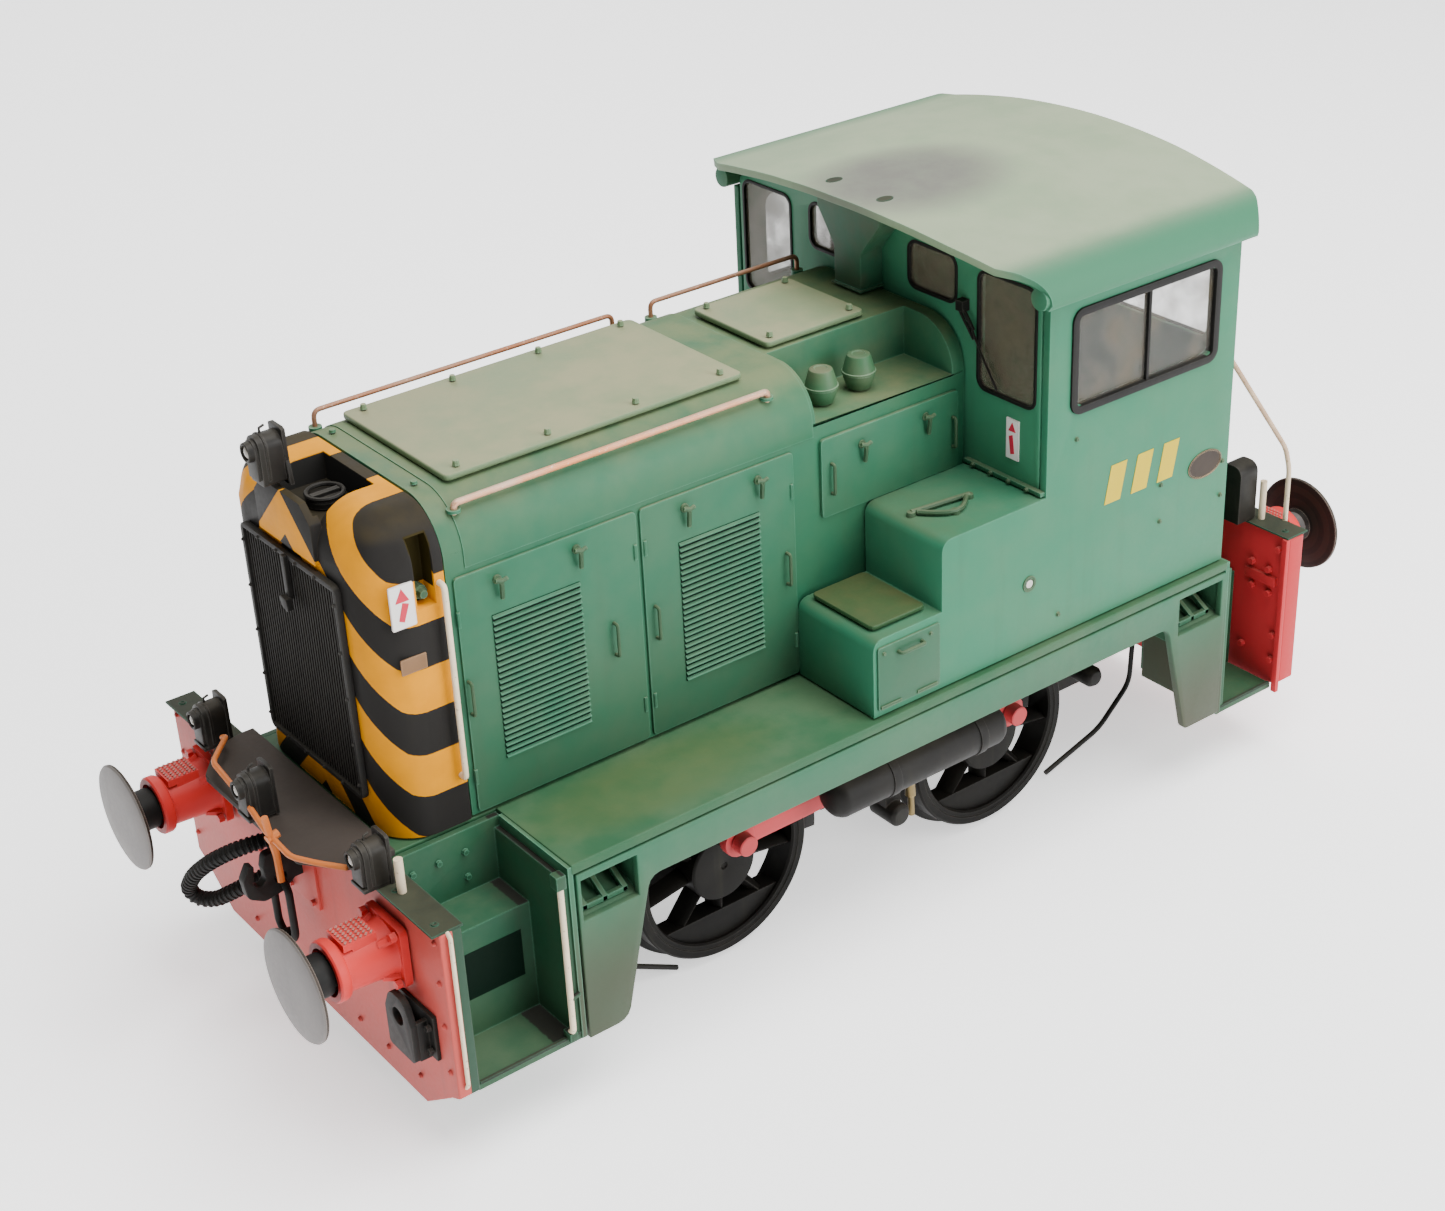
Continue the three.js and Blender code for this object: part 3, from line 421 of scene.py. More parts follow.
bodyPaint = {"colour": (0.0155, 0.106, 0.054)}
blackPaint = {"colour": (0.008, 0.0075, 0.007), "dust": (0.055, 0.048, 0.036), "wear": (0.07, 0.065, 0.058),
              "shine": 0.15}
finishes = {
    # the body green darkens from z 60 down to z 30: painted shade on the lower bonnet doors
    "body": paint("green_body", base=bodyPaint, low=(30, 60, 0.34)),
    "side": paint("green_cab_front", base=bodyPaint, colour=(0.036, 0.190, 0.102)),
    "bonnet": paint("green_bonnet", bonnetDust, base=bodyPaint, dusty=0.7, dust=(0.16, 0.17, 0.08)),
    "lockers": paint("green_cab_side", lockerDust, base=bodyPaint, colour=(0.023, 0.150, 0.080),
                     dusty=0.15, low=(30, 36, 0.12)),
    "board": paint("green_board", boardPatches, base=bodyPaint, colour=(0.0175, 0.080, 0.034), dusty=0.10),
    "skirt": paint("green_skirt", skirtFadeInnerShade, base=bodyPaint, colour=(0.021, 0.108, 0.056), dusty=0.2),
    "steps": paint("green_steps", wellGrimeAndShade, base=bodyPaint, colour=(0.0105, 0.066, 0.031), dusty=0.12),
    "hatch": paint("olive_hatch", colour=(0.125, 0.19, 0.10), dust=(0.265, 0.25, 0.145), dusty=0.8,
                   patchy=0.4, wear=(0.20, 0.32, 0.19)),
    "lid": paint("olive_lid", colour=(0.022, 0.065, 0.023), dust=(0.078, 0.078, 0.028), dusty=0.7,
                 patchy=0.3, wear=(0.12, 0.26, 0.16)),
    "roof": paint("roof_paint", roofSoot, colour=(0.19, 0.27, 0.16), dust=(0.30, 0.34, 0.23), dusty=0.7,
                  patchy=0.5, wear=(0.15, 0.38, 0.26), rough=0.55),
    "wasp": paint("wasp_bands", None, waspColour, dust=(0.22, 0.15, 0.02), dusty=0.10, haze=0.0,
                  wear=(0.10, 0.08, 0.04), edge=0.15, streaks=0.07, rough=0.42, shine=0.03),
    "black": paint("black_paint", base=blackPaint, dusty=0.5, edge=0.6, rough=0.52),
    "platform": paint("black_platform", colour=(0.026, 0.021, 0.018), dust=(0.072, 0.058, 0.048),
                      dusty=0.5, wear=(0.05, 0.14, 0.09), edge=0.8, rough=0.62, shine=0.15, patchy=0.7),
    "beamFront": paint("faded_red", beamEdge, colour=(0.49, 0.060, 0.048), dust=(0.39, 0.078, 0.063),
                       grime=(0.18, 0.06, 0.05), haze=0.5, wear=(0.52, 0.04, 0.04), streaks=0.25, edge=0.8,
                       low=(4, 14, 0.25)),
    "beamRear": paint("red_paint", colour=(0.44, 0.018, 0.024), dust=(0.27, 0.06, 0.05),
                      grime=(0.10, 0.03, 0.025), haze=0.12, wear=(0.60, 0.05, 0.055), streaks=0.18),
    "buffer": paint("buffer_red", colour=(0.54, 0.024, 0.022), dust=(0.36, 0.06, 0.045), haze=0.1,
                    grime=(0.18, 0.04, 0.03), wear=(0.64, 0.07, 0.07), dusty=0.25, rough=0.42),
    "head": paint("buffer_face", discBack, colour=(0.14, 0.13, 0.127), dust=(0.18, 0.165, 0.15),
                  grime=(0.06, 0.055, 0.05), wear=(0.34, 0.28, 0.23), metal=0.35, haze=0.45, streaks=0.2,
                  edge=0.9, rough=0.45),
    "wheel": paint("wheel_black", base=blackPaint, dusty=0.2, haze=0.25, edge=0.45, rough=0.45,
                   colour=(0.0035, 0.0033, 0.003), dust=(0.018, 0.016, 0.012), shine=0.08),
    "rod": paint("rod_red", colour=(0.42, 0.028, 0.035), dust=(0.22, 0.06, 0.05), haze=0.25,
                 wear=(0.55, 0.10, 0.11)),
    "steel": paint("bright_steel", colour=(0.34, 0.33, 0.31), metal=0.9, rough=0.3, dusty=0.1, edge=0.2,
                   dust=(0.20, 0.18, 0.16), wear=(0.5, 0.5, 0.5)),
    "brass": paint("worm_brass", colour=(0.62, 0.42, 0.16), metal=1.0, rough=0.28, dusty=0.0, haze=0.1,
                   dust=(0.35, 0.24, 0.10), wear=(0.8, 0.6, 0.3)),
    "motor": paint("motor_can", colour=(0.45, 0.45, 0.46), metal=0.95, rough=0.3, dusty=0.1,
                   dust=(0.3, 0.3, 0.3), wear=(0.6, 0.6, 0.6)),
    "copper": paint("copper_rail", colour=(0.58, 0.22, 0.09), dust=(0.46, 0.38, 0.29), haze=0.75,
                    metal=0.3, wear=(0.62, 0.52, 0.42), rough=0.38, dusty=0.6, speckle=0.6, edge=0.0),
    "copperDark": paint("dull_copper_rail", colour=(0.27, 0.10, 0.045), dust=(0.30, 0.20, 0.14), haze=0.6,
                        metal=0.3, wear=(0.45, 0.30, 0.22), rough=0.42, dusty=0.5, speckle=0.5, edge=0.0),
    "cream": paint("cream_rail", railAge, colour=(0.76, 0.64, 0.46), dust=(0.36, 0.27, 0.17), haze=0.4,
                   rough=0.5, wear=(0.20, 0.14, 0.08), dusty=0.2, speckle=0.55, edge=0.0),
    "orange": paint("orange_rail", colour=(0.55, 0.14, 0.025), dust=(0.35, 0.14, 0.05), haze=0.5,
                    rough=0.45, wear=(0.25, 0.10, 0.04), dusty=0.2, speckle=0.3, edge=0.0),
    "tread": paint("dark_tread", colour=(0.016, 0.020, 0.014), dust=(0.055, 0.058, 0.036), dusty=0.6,
                   rough=0.6, wear=(0.035, 0.11, 0.07), edge=0.8, shine=0.15),
    "duct": paint("duct_paint", colour=(0.020, 0.105, 0.056), dust=(0.085, 0.080, 0.048), haze=0.6,
                  dusty=0.6),
    "filter": paint("filter_paint", colour=(0.034, 0.105, 0.048), dust=(0.125, 0.125, 0.068), haze=0.6,
                    dusty=0.7, wear=(0.20, 0.32, 0.20), edge=0.7),
    "grille": paint("grille_paint", base=blackPaint, colour=(0.012, 0.0108, 0.0098), haze=0.08, edge=0.3,
                    dusty=0.2, rough=0.6, shine=0.08),
    "louvre": paint("louvre_paint", base=bodyPaint, colour=(0.015, 0.100, 0.050), dusty=0.15, edge=0.35),
    "latch": paint("latch_paint", base=bodyPaint, colour=(0.020, 0.060, 0.028), wear=(0.14, 0.22, 0.12),
                   edge=0.6, dusty=0.3),
    "rubber": paint("black_rubber", base=blackPaint, dusty=0.3, haze=0.2, edge=0.4, rough=0.5,
                    colour=(0.005, 0.005, 0.005), dust=(0.035, 0.032, 0.027)),
    "brassPipe": paint("brass_pipe", colour=(0.24, 0.17, 0.065), dust=(0.12, 0.10, 0.06), metal=0.6,
                       haze=0.6, dusty=0.4, rough=0.4, wear=(0.5, 0.38, 0.18)),
    "silver": paint("silver_lock", colour=(0.50, 0.50, 0.47), dust=(0.22, 0.20, 0.15), metal=0.6,
                    rough=0.35, haze=0.4, wear=(0.6, 0.6, 0.58)),
    "oval": paint("oval_plate", colour=(0.020, 0.014, 0.011), dust=(0.08, 0.055, 0.035), metal=0.3,
                  haze=0.3, wear=(0.40, 0.30, 0.17), edge=1.0, edgeSize=0.3, rough=0.4),
    "lamp": paint("lamp_black", base=blackPaint, dusty=0.45, haze=0.25, edge=0.8, rough=0.42),
    "chequer": paint("chequer_paint", colour=(0.30, 0.085, 0.065), dust=(0.24, 0.13, 0.10), haze=0.6,
                     dusty=0.7, wear=(0.5, 0.2, 0.18), edge=0.8, grime=(0.08, 0.04, 0.03)),
    "shade": paint("louvre_shadow", colour=(0.002, 0.009, 0.005), dust=(0.004, 0.012, 0.007),
                   grime=(0.002, 0.003, 0.002), edge=0.0, shine=0.05),
    "plateBrown": paint("brown_plate", colour=(0.20, 0.11, 0.055), dust=(0.10, 0.06, 0.035), haze=0.7,
                        metal=0.3, wear=(0.4, 0.26, 0.16)),
    "label": paint("plain_label", colour=(0.72, 0.70, 0.68), dust=(0.45, 0.40, 0.33), dusty=0.0, haze=0.2,
                   wear=(0.4, 0.3, 0.25), streaks=0.05, rough=0.35),
    "mark": paint("yellow_mark", colour=(0.50, 0.36, 0.0), dust=(0.30, 0.27, 0.04), haze=0.1, streaks=0.05,
                  edge=0.0, dusty=0.0, rough=0.42),
    "redMark": paint("red_mark", colour=(0.50, 0.02, 0.05), dust=(0.4, 0.1, 0.1), haze=0.2, edge=0.0,
                     dusty=0.0),
}


def glass(name, colour, clear, dirt, rough):
    shader = Shader(name)
    point = shader.place()[0]
    film = shader.noise(point, 0.22, 4, seed=5.0)
    spots = shader.noise(point, 1.2, 3, seed=9.0)
    shader.set("Base Color", shader.mix(film.ramp(0.35, 0.7), colour, (0.15, 0.128, 0.088)))
    shader.set("Alpha", (clear + film.ramp(0.35, 0.75) * dirt + spots.ramp(0.6, 0.75) * 0.05).atMost(0.98))
    shader.set("Roughness", rough + film * 0.15)
    shader.bump(spots, 0.05, 0.05)
    return shader.material


finishes["sideGlass"] = glass("dusty_glass", (0.24, 0.24, 0.225), 0.14, 0.22, 0.06)
finishes["frontGlass"] = glass("dirty_glass", (0.20, 0.175, 0.13), 0.38, 0.40, 0.10)


def lensGlass():
    shader = Shader("lamp_lens")
    point = shader.place()[0]
    grain = shader.noise(point, 2.0, 2)
    shader.set("Base Color", shader.mix(grain, (0.16, 0.14, 0.11), (0.32, 0.29, 0.24)))
    shader.set("Roughness", grain * 0.15 + 0.05)
    shader.set("Coat Weight", 0.6)
    shader.bump(grain, 0.1, 0.04)
    return shader.material


finishes["lens"] = lensGlass()


def floorPaper():
    shader = Shader("studio_floor")
    cloud = shader.noise(shader.place()[0], 0.02, 2)
    shader.set("Base Color", shader.mix(cloud, lightSet["floor"], lightSet["floorCool"]))
    shader.set("Roughness", 0.7)
    shader.set("Emission Color", (1.0, 1.0, 1.0))
    shader.set("Emission Strength", lightSet["floorGlow"])
    return shader.material


def makeFloor():
    reach = 3.0
    mesh = bpy.data.meshes.new("floor")
    mesh.from_pydata([(-reach, -reach, 0), (reach, -reach, 0), (reach, reach, 0), (-reach, reach, 0)], [],
                     [(0, 1, 2, 3)])
    mesh.materials.append(floorPaper())
    floor = bpy.data.objects.new("floor", mesh)
    bpy.context.scene.collection.objects.link(floor)


makeFloor()
print("finishes mixed")


# shapes, in millimetres, gathered into one mesh each
def roundedOutline(points, radius, steps=5):
    outline = []
    for i, point in enumerate(points):
        r = point[2] if len(point) > 2 else radius
        corner = Vector(point[:2])
        if not r:
            outline.append(tuple(corner))
            continue
        a = (Vector(points[i - 1][:2]) - corner).normalized()
        b = (Vector(points[(i + 1) % len(points)][:2]) - corner).normalized()
        half = math.acos(max(-1, min(1, a.dot(b)))) / 2
        centre = corner + (a + b).normalized() * (r / math.sin(half))
        start = corner + a * (r / math.tan(half)) - centre
        stop = corner + b * (r / math.tan(half)) - centre
        sweep = math.atan2(start.x * stop.y - start.y * stop.x, start.dot(stop))
        for k in range(steps + 1):
            turn = sweep * k / steps
            spoke = Vector((start.x * math.cos(turn) - start.y * math.sin(turn),
                            start.x * math.sin(turn) + start.y * math.cos(turn)))
            outline.append(tuple(centre + spoke))
    return outline


def rectangle(u0, u1, v0, v1):
    return [(u0, v0), (u1, v0), (u1, v1), (u0, v1)]


def onAxis(axis, u, v, along):
    return {"x": (along, u, v), "y": (u, along, v), "z": (u, v, along)}[axis]


class Shape:
    def __init__(self):
        self.bm = bmesh.new()

    def prism(self, outline, axis, low, high):
        rings = [[self.bm.verts.new(onAxis(axis, u, v, along)) for u, v in outline] for along in (low, high)]
        count = len(outline)
        self.bm.faces.new(rings[0][::-1])
        self.bm.faces.new(rings[1])
        for i in range(count):
            j = (i + 1) % count
            self.bm.faces.new((rings[0][i], rings[0][j], rings[1][j], rings[1][i]))
        return self

    def box(self, x0, x1, y0, y1, z0, z1):
        return self.prism(rectangle(x0, x1, y0, y1), "z", z0, z1)

    def lathe(self, profile, axis, centre, segments=32):
        rings = []
        for along, radius in profile:
            if radius < 1e-6:
                rings.append([self.bm.verts.new(onAxis(axis, centre[0], centre[1], along))])
                continue
            ring = []
            for k in range(segments):
                turn = 2 * math.pi * k / segments
                u = centre[0] + radius * math.cos(turn)
                v = centre[1] + radius * math.sin(turn)
                ring.append(self.bm.verts.new(onAxis(axis, u, v, along)))
            rings.append(ring)
        for a, b in zip(rings, rings[1:]):
            for k in range(segments):
                j = (k + 1) % segments
                loop = [a[k % len(a)], a[j % len(a)], b[j % len(b)], b[k % len(b)]]
                loop = [v for i, v in enumerate(loop) if v not in loop[:i]]
                if len(loop) > 2:
                    self.bm.faces.new(loop)
        return self

    def boxes(self, many):
        for edges in many:
            self.box(*edges)
        return self

    def disc(self, low, high, radius, axis, centre, segments):
        return self.lathe([(low, 0), (low, radius), (high, radius), (high, 0)], axis, centre, segments)

    def tube(self, points, radius, sides=10, corner=0.0, flat=1.0):
        path = [Vector(p) for p in points]
        if corner:
            path = softened(path, corner)
        last = len(path) - 1
        ahead = [(path[min(i + 1, last)] - path[max(i - 1, 0)]).normalized() for i in range(last + 1)]
        side = ahead[0].orthogonal().normalized()
        rings = []
        for i, here in enumerate(path):
            side = (side - ahead[i] * side.dot(ahead[i])).normalized()
            other = ahead[i].cross(side)
            rings.append([self.bm.verts.new(here + side * radius * math.cos(2 * math.pi * k / sides)
                          + other * radius * flat * math.sin(2 * math.pi * k / sides)) for k in range(sides)])
        for a, b in zip(rings, rings[1:]):
            for k in range(sides):
                j = (k + 1) % sides
                self.bm.faces.new((a[k], a[j], b[j], b[k]))
        self.bm.faces.new(rings[0][::-1])
        self.bm.faces.new(rings[-1])
        return self

    def turned(self, matrix):
        bmesh.ops.transform(self.bm, matrix=matrix, verts=self.bm.verts[:])
        return self

    def mirrored(self):
        copy = bmesh.ops.duplicate(self.bm, geom=self.bm.verts[:] + self.bm.edges[:] + self.bm.faces[:])
        verts = [item for item in copy["geom"] if isinstance(item, bmesh.types.BMVert)]
        for vert in verts:
            vert.co.y = -vert.co.y
        bmesh.ops.reverse_faces(self.bm, faces=[f for f in copy["geom"] if isinstance(f, bmesh.types.BMFace)])
        return self

    def bevelled(self, width, segments=2, angle=35):
        self.bm.normal_update()
        sharp = [e for e in self.bm.edges if len(e.link_faces) == 2
                 and e.calc_face_angle(0) > math.radians(angle)]
        bmesh.ops.bevel(self.bm, geom=sharp, offset=width, segments=segments, affect="EDGES",
                        profile=0.6, clamp_overlap=True)
        return self

    def mesh(self, name):
        bmesh.ops.recalc_face_normals(self.bm, faces=self.bm.faces[:])
        bmesh.ops.scale(self.bm, vec=(mm, mm, mm), verts=self.bm.verts[:])
        mesh = bpy.data.meshes.new(name)
        self.bm.to_mesh(mesh)
        self.bm.free()
        return mesh


def softened(path, reach):
    made = [path[0]]
    for before, here, after in zip(path, path[1:], path[2:]):
        a = (before - here)
        b = (after - here)
        cut = min(reach, a.length * 0.45, b.length * 0.45)
        start = here + a.normalized() * cut
        stop = here + b.normalized() * cut
        made += [start.lerp(here, t).lerp(here.lerp(stop, t), t) for t in (0, 0.2, 0.4, 0.6, 0.8, 1)]
    return made + [path[-1]]


def towards(sign, profile):
    return [(sign * along, radius) for along, radius in profile]


def finished(name, made, look, body="root", slot="chassis_black", replacing=(), angle=38):
    mesh = made.mesh(name) if isinstance(made, Shape) else made
    mesh.materials.clear()
    mesh.materials.append(finishes[look])
    mesh.shade_smooth()
    mesh.set_sharp_from_angle(angle=math.radians(angle))
    piece = bpy.data.objects.new(name, mesh)
    bpy.context.scene.collection.objects.link(piece)
    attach(piece, body)
    if replacing:
        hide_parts(*replacing)


# Geometry Nodes: one tree repeats a small mesh in a row or round an axis, one sets studs on points
class GeometryTree:
    def __init__(self, name, inputs):
        self.tree = bpy.data.node_groups.new(name, "GeometryNodeTree")
        face = self.tree.interface
        self.sockets = {}
        for label, kind in {"Geometry": "Geometry", **inputs}.items():
            self.sockets[label] = face.new_socket(label, in_out="INPUT", socket_type="NodeSocket" + kind)
        face.new_socket("Geometry", in_out="OUTPUT", socket_type="NodeSocketGeometry")
        self.inlet = self.tree.nodes.new("NodeGroupInput")

    def given(self, label):
        return self.inlet.outputs[label]

    def node(self, kind, settings=None, values=None, out=0):
        made = self.tree.nodes.new(kind)
        for key, setting in (settings or {}).items():
            setattr(made, key, setting)
        for key, value in (values or {}).items():
            if isinstance(value, bpy.types.NodeSocket):
                self.tree.links.new(value, made.inputs[key])
            else:
                made.inputs[key].default_value = value
        return made.outputs[out]

    def close(self, geometry):
        real = self.node("GeometryNodeRealizeInstances", values={"Geometry": geometry})
        values = {"Geometry": real, "Material": self.given("Material")}
        finish = self.node("GeometryNodeSetMaterial", values=values)
        self.tree.links.new(finish, self.tree.nodes.new("NodeGroupOutput").inputs[0])
        return self

    def grown(self, name, mesh, values):
        holder = bpy.data.objects.new(name, mesh)
        bpy.context.scene.collection.objects.link(holder)
        modifier = holder.modifiers.new("grow", "NODES")
        modifier.node_group = self.tree
        for label, value in values.items():
            modifier[self.sockets[label].identifier] = value
        made = bpy.data.meshes.new_from_object(holder.evaluated_get(bpy.context.evaluated_depsgraph_get()))
        holder.modifiers.remove(modifier)
        bpy.data.objects.remove(holder)
        return made


def rowTree():
    tree = GeometryTree("rows", {"Count": "Int", "Start": "Vector", "Step": "Vector", "Turn": "Vector",
                                 "Material": "Material"})
    index = tree.node("GeometryNodeInputIndex")
    along = tree.node("ShaderNodeVectorMath", {"operation": "SCALE"}, {0: tree.given("Step"), "Scale": index})
    spot = tree.node("ShaderNodeVectorMath", {"operation": "ADD"}, {0: tree.given("Start"), 1: along})
    turn = tree.node("ShaderNodeVectorMath", {"operation": "SCALE"}, {0: tree.given("Turn"), "Scale": index})
    points = tree.node("GeometryNodePoints", values={"Count": tree.given("Count"), "Position": spot})
    copies = tree.node("GeometryNodeInstanceOnPoints", values={
        "Points": points, "Instance": tree.given("Geometry"), "Rotation": turn})
    return tree.close(copies)


def studTree():
    tree = GeometryTree("studs", {"Radius": "Float", "Height": "Float", "Sides": "Int", "Crown": "Float",
                                  "Material": "Material"})
    sizes = {0: tree.given("Radius"), 1: tree.given("Crown")}
    top = tree.node("ShaderNodeMath", {"operation": "MULTIPLY"}, sizes)
    stud = tree.node("GeometryNodeMeshCone", values={
        "Vertices": tree.given("Sides"), "Radius Top": top, "Radius Bottom": tree.given("Radius"),
        "Depth": tree.given("Height")})
    facing = tree.node("GeometryNodeInputNamedAttribute", {"data_type": "FLOAT_VECTOR"}, {"Name": "facing"})
    turn = tree.node("FunctionNodeAlignRotationToVector", {"axis": "Z"}, {"Vector": facing})
    copies = tree.node("GeometryNodeInstanceOnPoints", values={
        "Points": tree.given("Geometry"), "Instance": stud, "Rotation": turn})
    return tree.close(copies)


rows = rowTree()
studsOn = studTree()


def vector(values):
    return [value * mm for value in values]


def repeated(name, unit, look, count, start, step=(0, 0, 0), turn=(0, 0, 0)):
    values = {"Count": count, "Start": vector(start), "Step": vector(step),
              "Turn": [math.radians(v) for v in turn], "Material": finishes[look]}
    return rows.grown(name, unit.mesh(name), values)


def studs(name, spots, look, radius=0.3, height=0.28, sides=10, crown=0.6, **placing):
    mesh = bpy.data.meshes.new(name)
    mesh.from_pydata([vector(spot[:3]) for spot in spots], [], [])
    facing = mesh.attributes.new("facing", "FLOAT_VECTOR", "POINT")
    for i, spot in enumerate(spots):
        facing.data[i].vector = spot[3]
    values = {"Radius": radius * mm, "Height": height * mm, "Sides": sides, "Crown": crown,
              "Material": finishes[look]}
    finished(name, studsOn.grown(name, mesh, values), look, **placing)


def temporary(mesh):
    holder = bpy.data.objects.new("temporary", mesh)
    bpy.context.scene.collection.objects.link(holder)
    return holder


def carved(mesh, cutter, way="DIFFERENCE"):
    body, tool = temporary(mesh), temporary(cutter.mesh("cutter"))
    modifier = body.modifiers.new("carve", "BOOLEAN")
    modifier.object = tool
    modifier.operation = way
    modifier.solver = "EXACT"
    made = bpy.data.meshes.new_from_object(body.evaluated_get(bpy.context.evaluated_depsgraph_get()))
    for holder in (body, tool):
        bpy.data.objects.remove(holder)
    return made


def eased(mesh, width, angle=32):
    bm = bmesh.new()
    bm.from_mesh(mesh)
    bmesh.ops.remove_doubles(bm, verts=bm.verts[:], dist=2e-6)
    bmesh.ops.dissolve_limit(bm, angle_limit=math.radians(0.6), verts=bm.verts[:], edges=bm.edges[:])
    bm.normal_update()
    sharp = [e for e in bm.edges if len(e.link_faces) == 2 and e.calc_face_angle(0) > math.radians(angle)]
    bmesh.ops.bevel(bm, geom=sharp, offset=width * mm, segments=2, affect="EDGES", profile=0.6,
                    clamp_overlap=True)
    made = bpy.data.meshes.new(mesh.name)
    bm.to_mesh(made)
    bm.free()
    return made


def merged(name, meshes):
    bm = bmesh.new()
    for mesh in meshes:
        bm.from_mesh(mesh)
    made = bpy.data.meshes.new(name)
    bm.to_mesh(made)
    bm.free()
    return made


# CAD nodes that only need softer edges: name of the finish and width of the edge round
fineNodes = {
    "cab_front": ("side", 0.1), "cab_rear": ("side", 0.1), "cab_side_near": ("lockers", 0.16),
    "cab_side_far": ("lockers", 0.16), "locker_lid_near": ("lid", 0.12), "locker_lid_far": ("lid", 0.12),
    "control_desk": ("black", 0.2), "running_board": ("board", 0.16), "side_skirt_near": ("skirt", 0.15),
    "side_skirt_far": ("skirt", 0.15),
    "steps_front_near": ("steps", 0.08), "steps_front_far": ("steps", 0.08),
    "steps_rear_near": ("steps", 0.08), "steps_rear_far": ("steps", 0.08),
    "buffer_beam_front": ("beamFront", 0.2), "buffer_beam_rear": ("beamRear", 0.2),
    "front_platform": ("platform", 0.12), "coupling_hook_front": ("black", 0.22),
    "coupling_hook_rear": ("black", 0.22), "chassis_frame": ("black", 0.15), "axle_front": ("steel", 0.1),
    "axle_rear": ("steel", 0.1), "coupling_rod_near": ("rod", 0.12), "coupling_rod_far": ("rod", 0.12),
    "motor": ("motor", 0.3), "worm_shaft": ("brass", 0.1),
    "hood_hatch_front": ("hatch", 0.22), "hood_hatch_rear": ("hatch", 0.2),
}
for node, (look, width) in fineNodes.items():
    mesh = eased(frame["nodes"][node].data, width)
    finished("fine_" + node, mesh, look, bodyOf[node], slotOf[node], (node,))
print("main pieces softened")


# bonnet: a rounded sheet with a ledge for the air filters, hollow below
hoodSet = {"x": (-50.9, 19.6), "half": 14.9, "bottom": 31.7, "top": 68.2, "round": 6.0,
           "ledge": (-2.6, 17.8, -6.4, 62.2), "hollow": (-50.2, 19.0, 13.6, 61.0),
           "cover": (-48.6, 60.9, 0.14)}


def hoodOutline(grow, bottom, steps=14):
    half, top, r = hoodSet["half"] + grow, hoodSet["top"] + grow, hoodSet["round"] + grow
    return roundedOutline([(half, bottom, 0), (half, top, r), (-half, top, r), (-half, bottom, 0)], 0, steps)


def makeHood(look):
    shell = Shape().prism(hoodOutline(0, look["bottom"]), "x", *look["x"]).mesh("bonnet_shell")
    x0, x1, inner, floor = look["ledge"]
    a, b, half, top = look["hollow"]
    shell = carved(shell, Shape().box(x0, x1, -20, inner, floor, 80))
    shell = carved(shell, Shape().box(a, b, -half, half, 20, top))
    finished("bonnet_shell", eased(shell, 0.14), "bonnet", slot="body_green", replacing=("hood_shell",))
    front, low, proud = look["cover"]
    cover = Shape().prism(hoodOutline(proud, low), "x", front, x0 - 0.5).mesh("bonnet_cover")
    cover = carved(cover, Shape().prism(hoodOutline(-0.3, 50), "x", -60, 30))
    finished("bonnet_cover", eased(cover, 0.05), "bonnet", slot="body_green")


makeHood(hoodSet)

# radiator cowl: one big corner round, a filler well with a raised front lip, and a lamp notch each side
cowlSet = {"x": (-60.2, -51.2), "half": 15.3, "z": (31.7, 68.2), "round": 5.3, "steps": 12,
           "well": (-59.8, -52.6, 5.3, 65.0), "lip": (-60.65, -59.3, 6.0, 61.8),
           "notch": (-54.6, -52.4, 13.0, 58.4, 66.0)}


def makeCowl(look):
    (x0, x1), half, (z0, z1), r = look["x"], look["half"], look["z"], look["round"]
    shape = Shape().box(x0, x1, -half, half, z0, z1)

    def onCorner(edge):
        middle = (edge.verts[0].co + edge.verts[1].co) / 2
        upright = abs(middle.x - x0) < 0.1 and abs(abs(middle.y) - half) < 0.1
        return upright or (middle.z > z1 - 0.1 and middle.x < x1 - 0.1)

    bmesh.ops.bevel(shape.bm, geom=[e for e in shape.bm.edges if onCorner(e)], offset=r,
                    segments=look["steps"], affect="EDGES", profile=0.5, clamp_overlap=True)
    cowl = shape.mesh("radiator_cowl")
    x0, x1, half, z0 = look["lip"]
    lip = [(-half, z0, 0), (half, z0, 0), (half, z1 - 1.9, 0.4), (half - 1.9, z1, 0.4),
           (-half + 1.9, z1, 0.4), (-half, z1 - 1.9, 0.4)]
    cowl = carved(cowl, Shape().prism(roundedOutline(lip, 0, 3), "x", x0, x1), "UNION")
    x0, x1, half, floor = look["well"]
    cowl = carved(cowl, Shape().box(x0, x1, -half, half, floor, 80))
    x0, x1, inner, low, high = look["notch"]
    for side in (-1, 1):
        a, b = sorted((side * inner, side * 20))
        cowl = carved(cowl, Shape().box(x0, x1, a, b, low, high))
    finished("radiator_cowl", eased(cowl, 0.12, 40), "wasp", slot="wasp_bands", replacing=("nose_cowl",),
             angle=42)


makeCowl(cowlSet)

# radiator: a thin rimmed frame filled with upright slats
grilleSet = {"x": (-61.0, -60.25), "half": 10.2, "z": (35.6, 61.1), "rim": 0.6, "slats": 34,
             "slat": (-0.32, 0.3, 0.19), "sideBolts": (37.5, 42.5, 48, 53.5, 59), "endBolts": (-6, -2, 2, 6),
             "bar": (-0.35, 0.35, 55.9, 61.0),
             "latch": [(-1.0, 54.6), (0.5, 55.2), (0.9, 56.4), (-0.6, 56.2)],
             "pin": [(-1.35, 0.0), (-1.35, 0.32), (-0.9, 0.4), (-0.9, 0.0)], "pinAt": (-0.2, 55.4)}


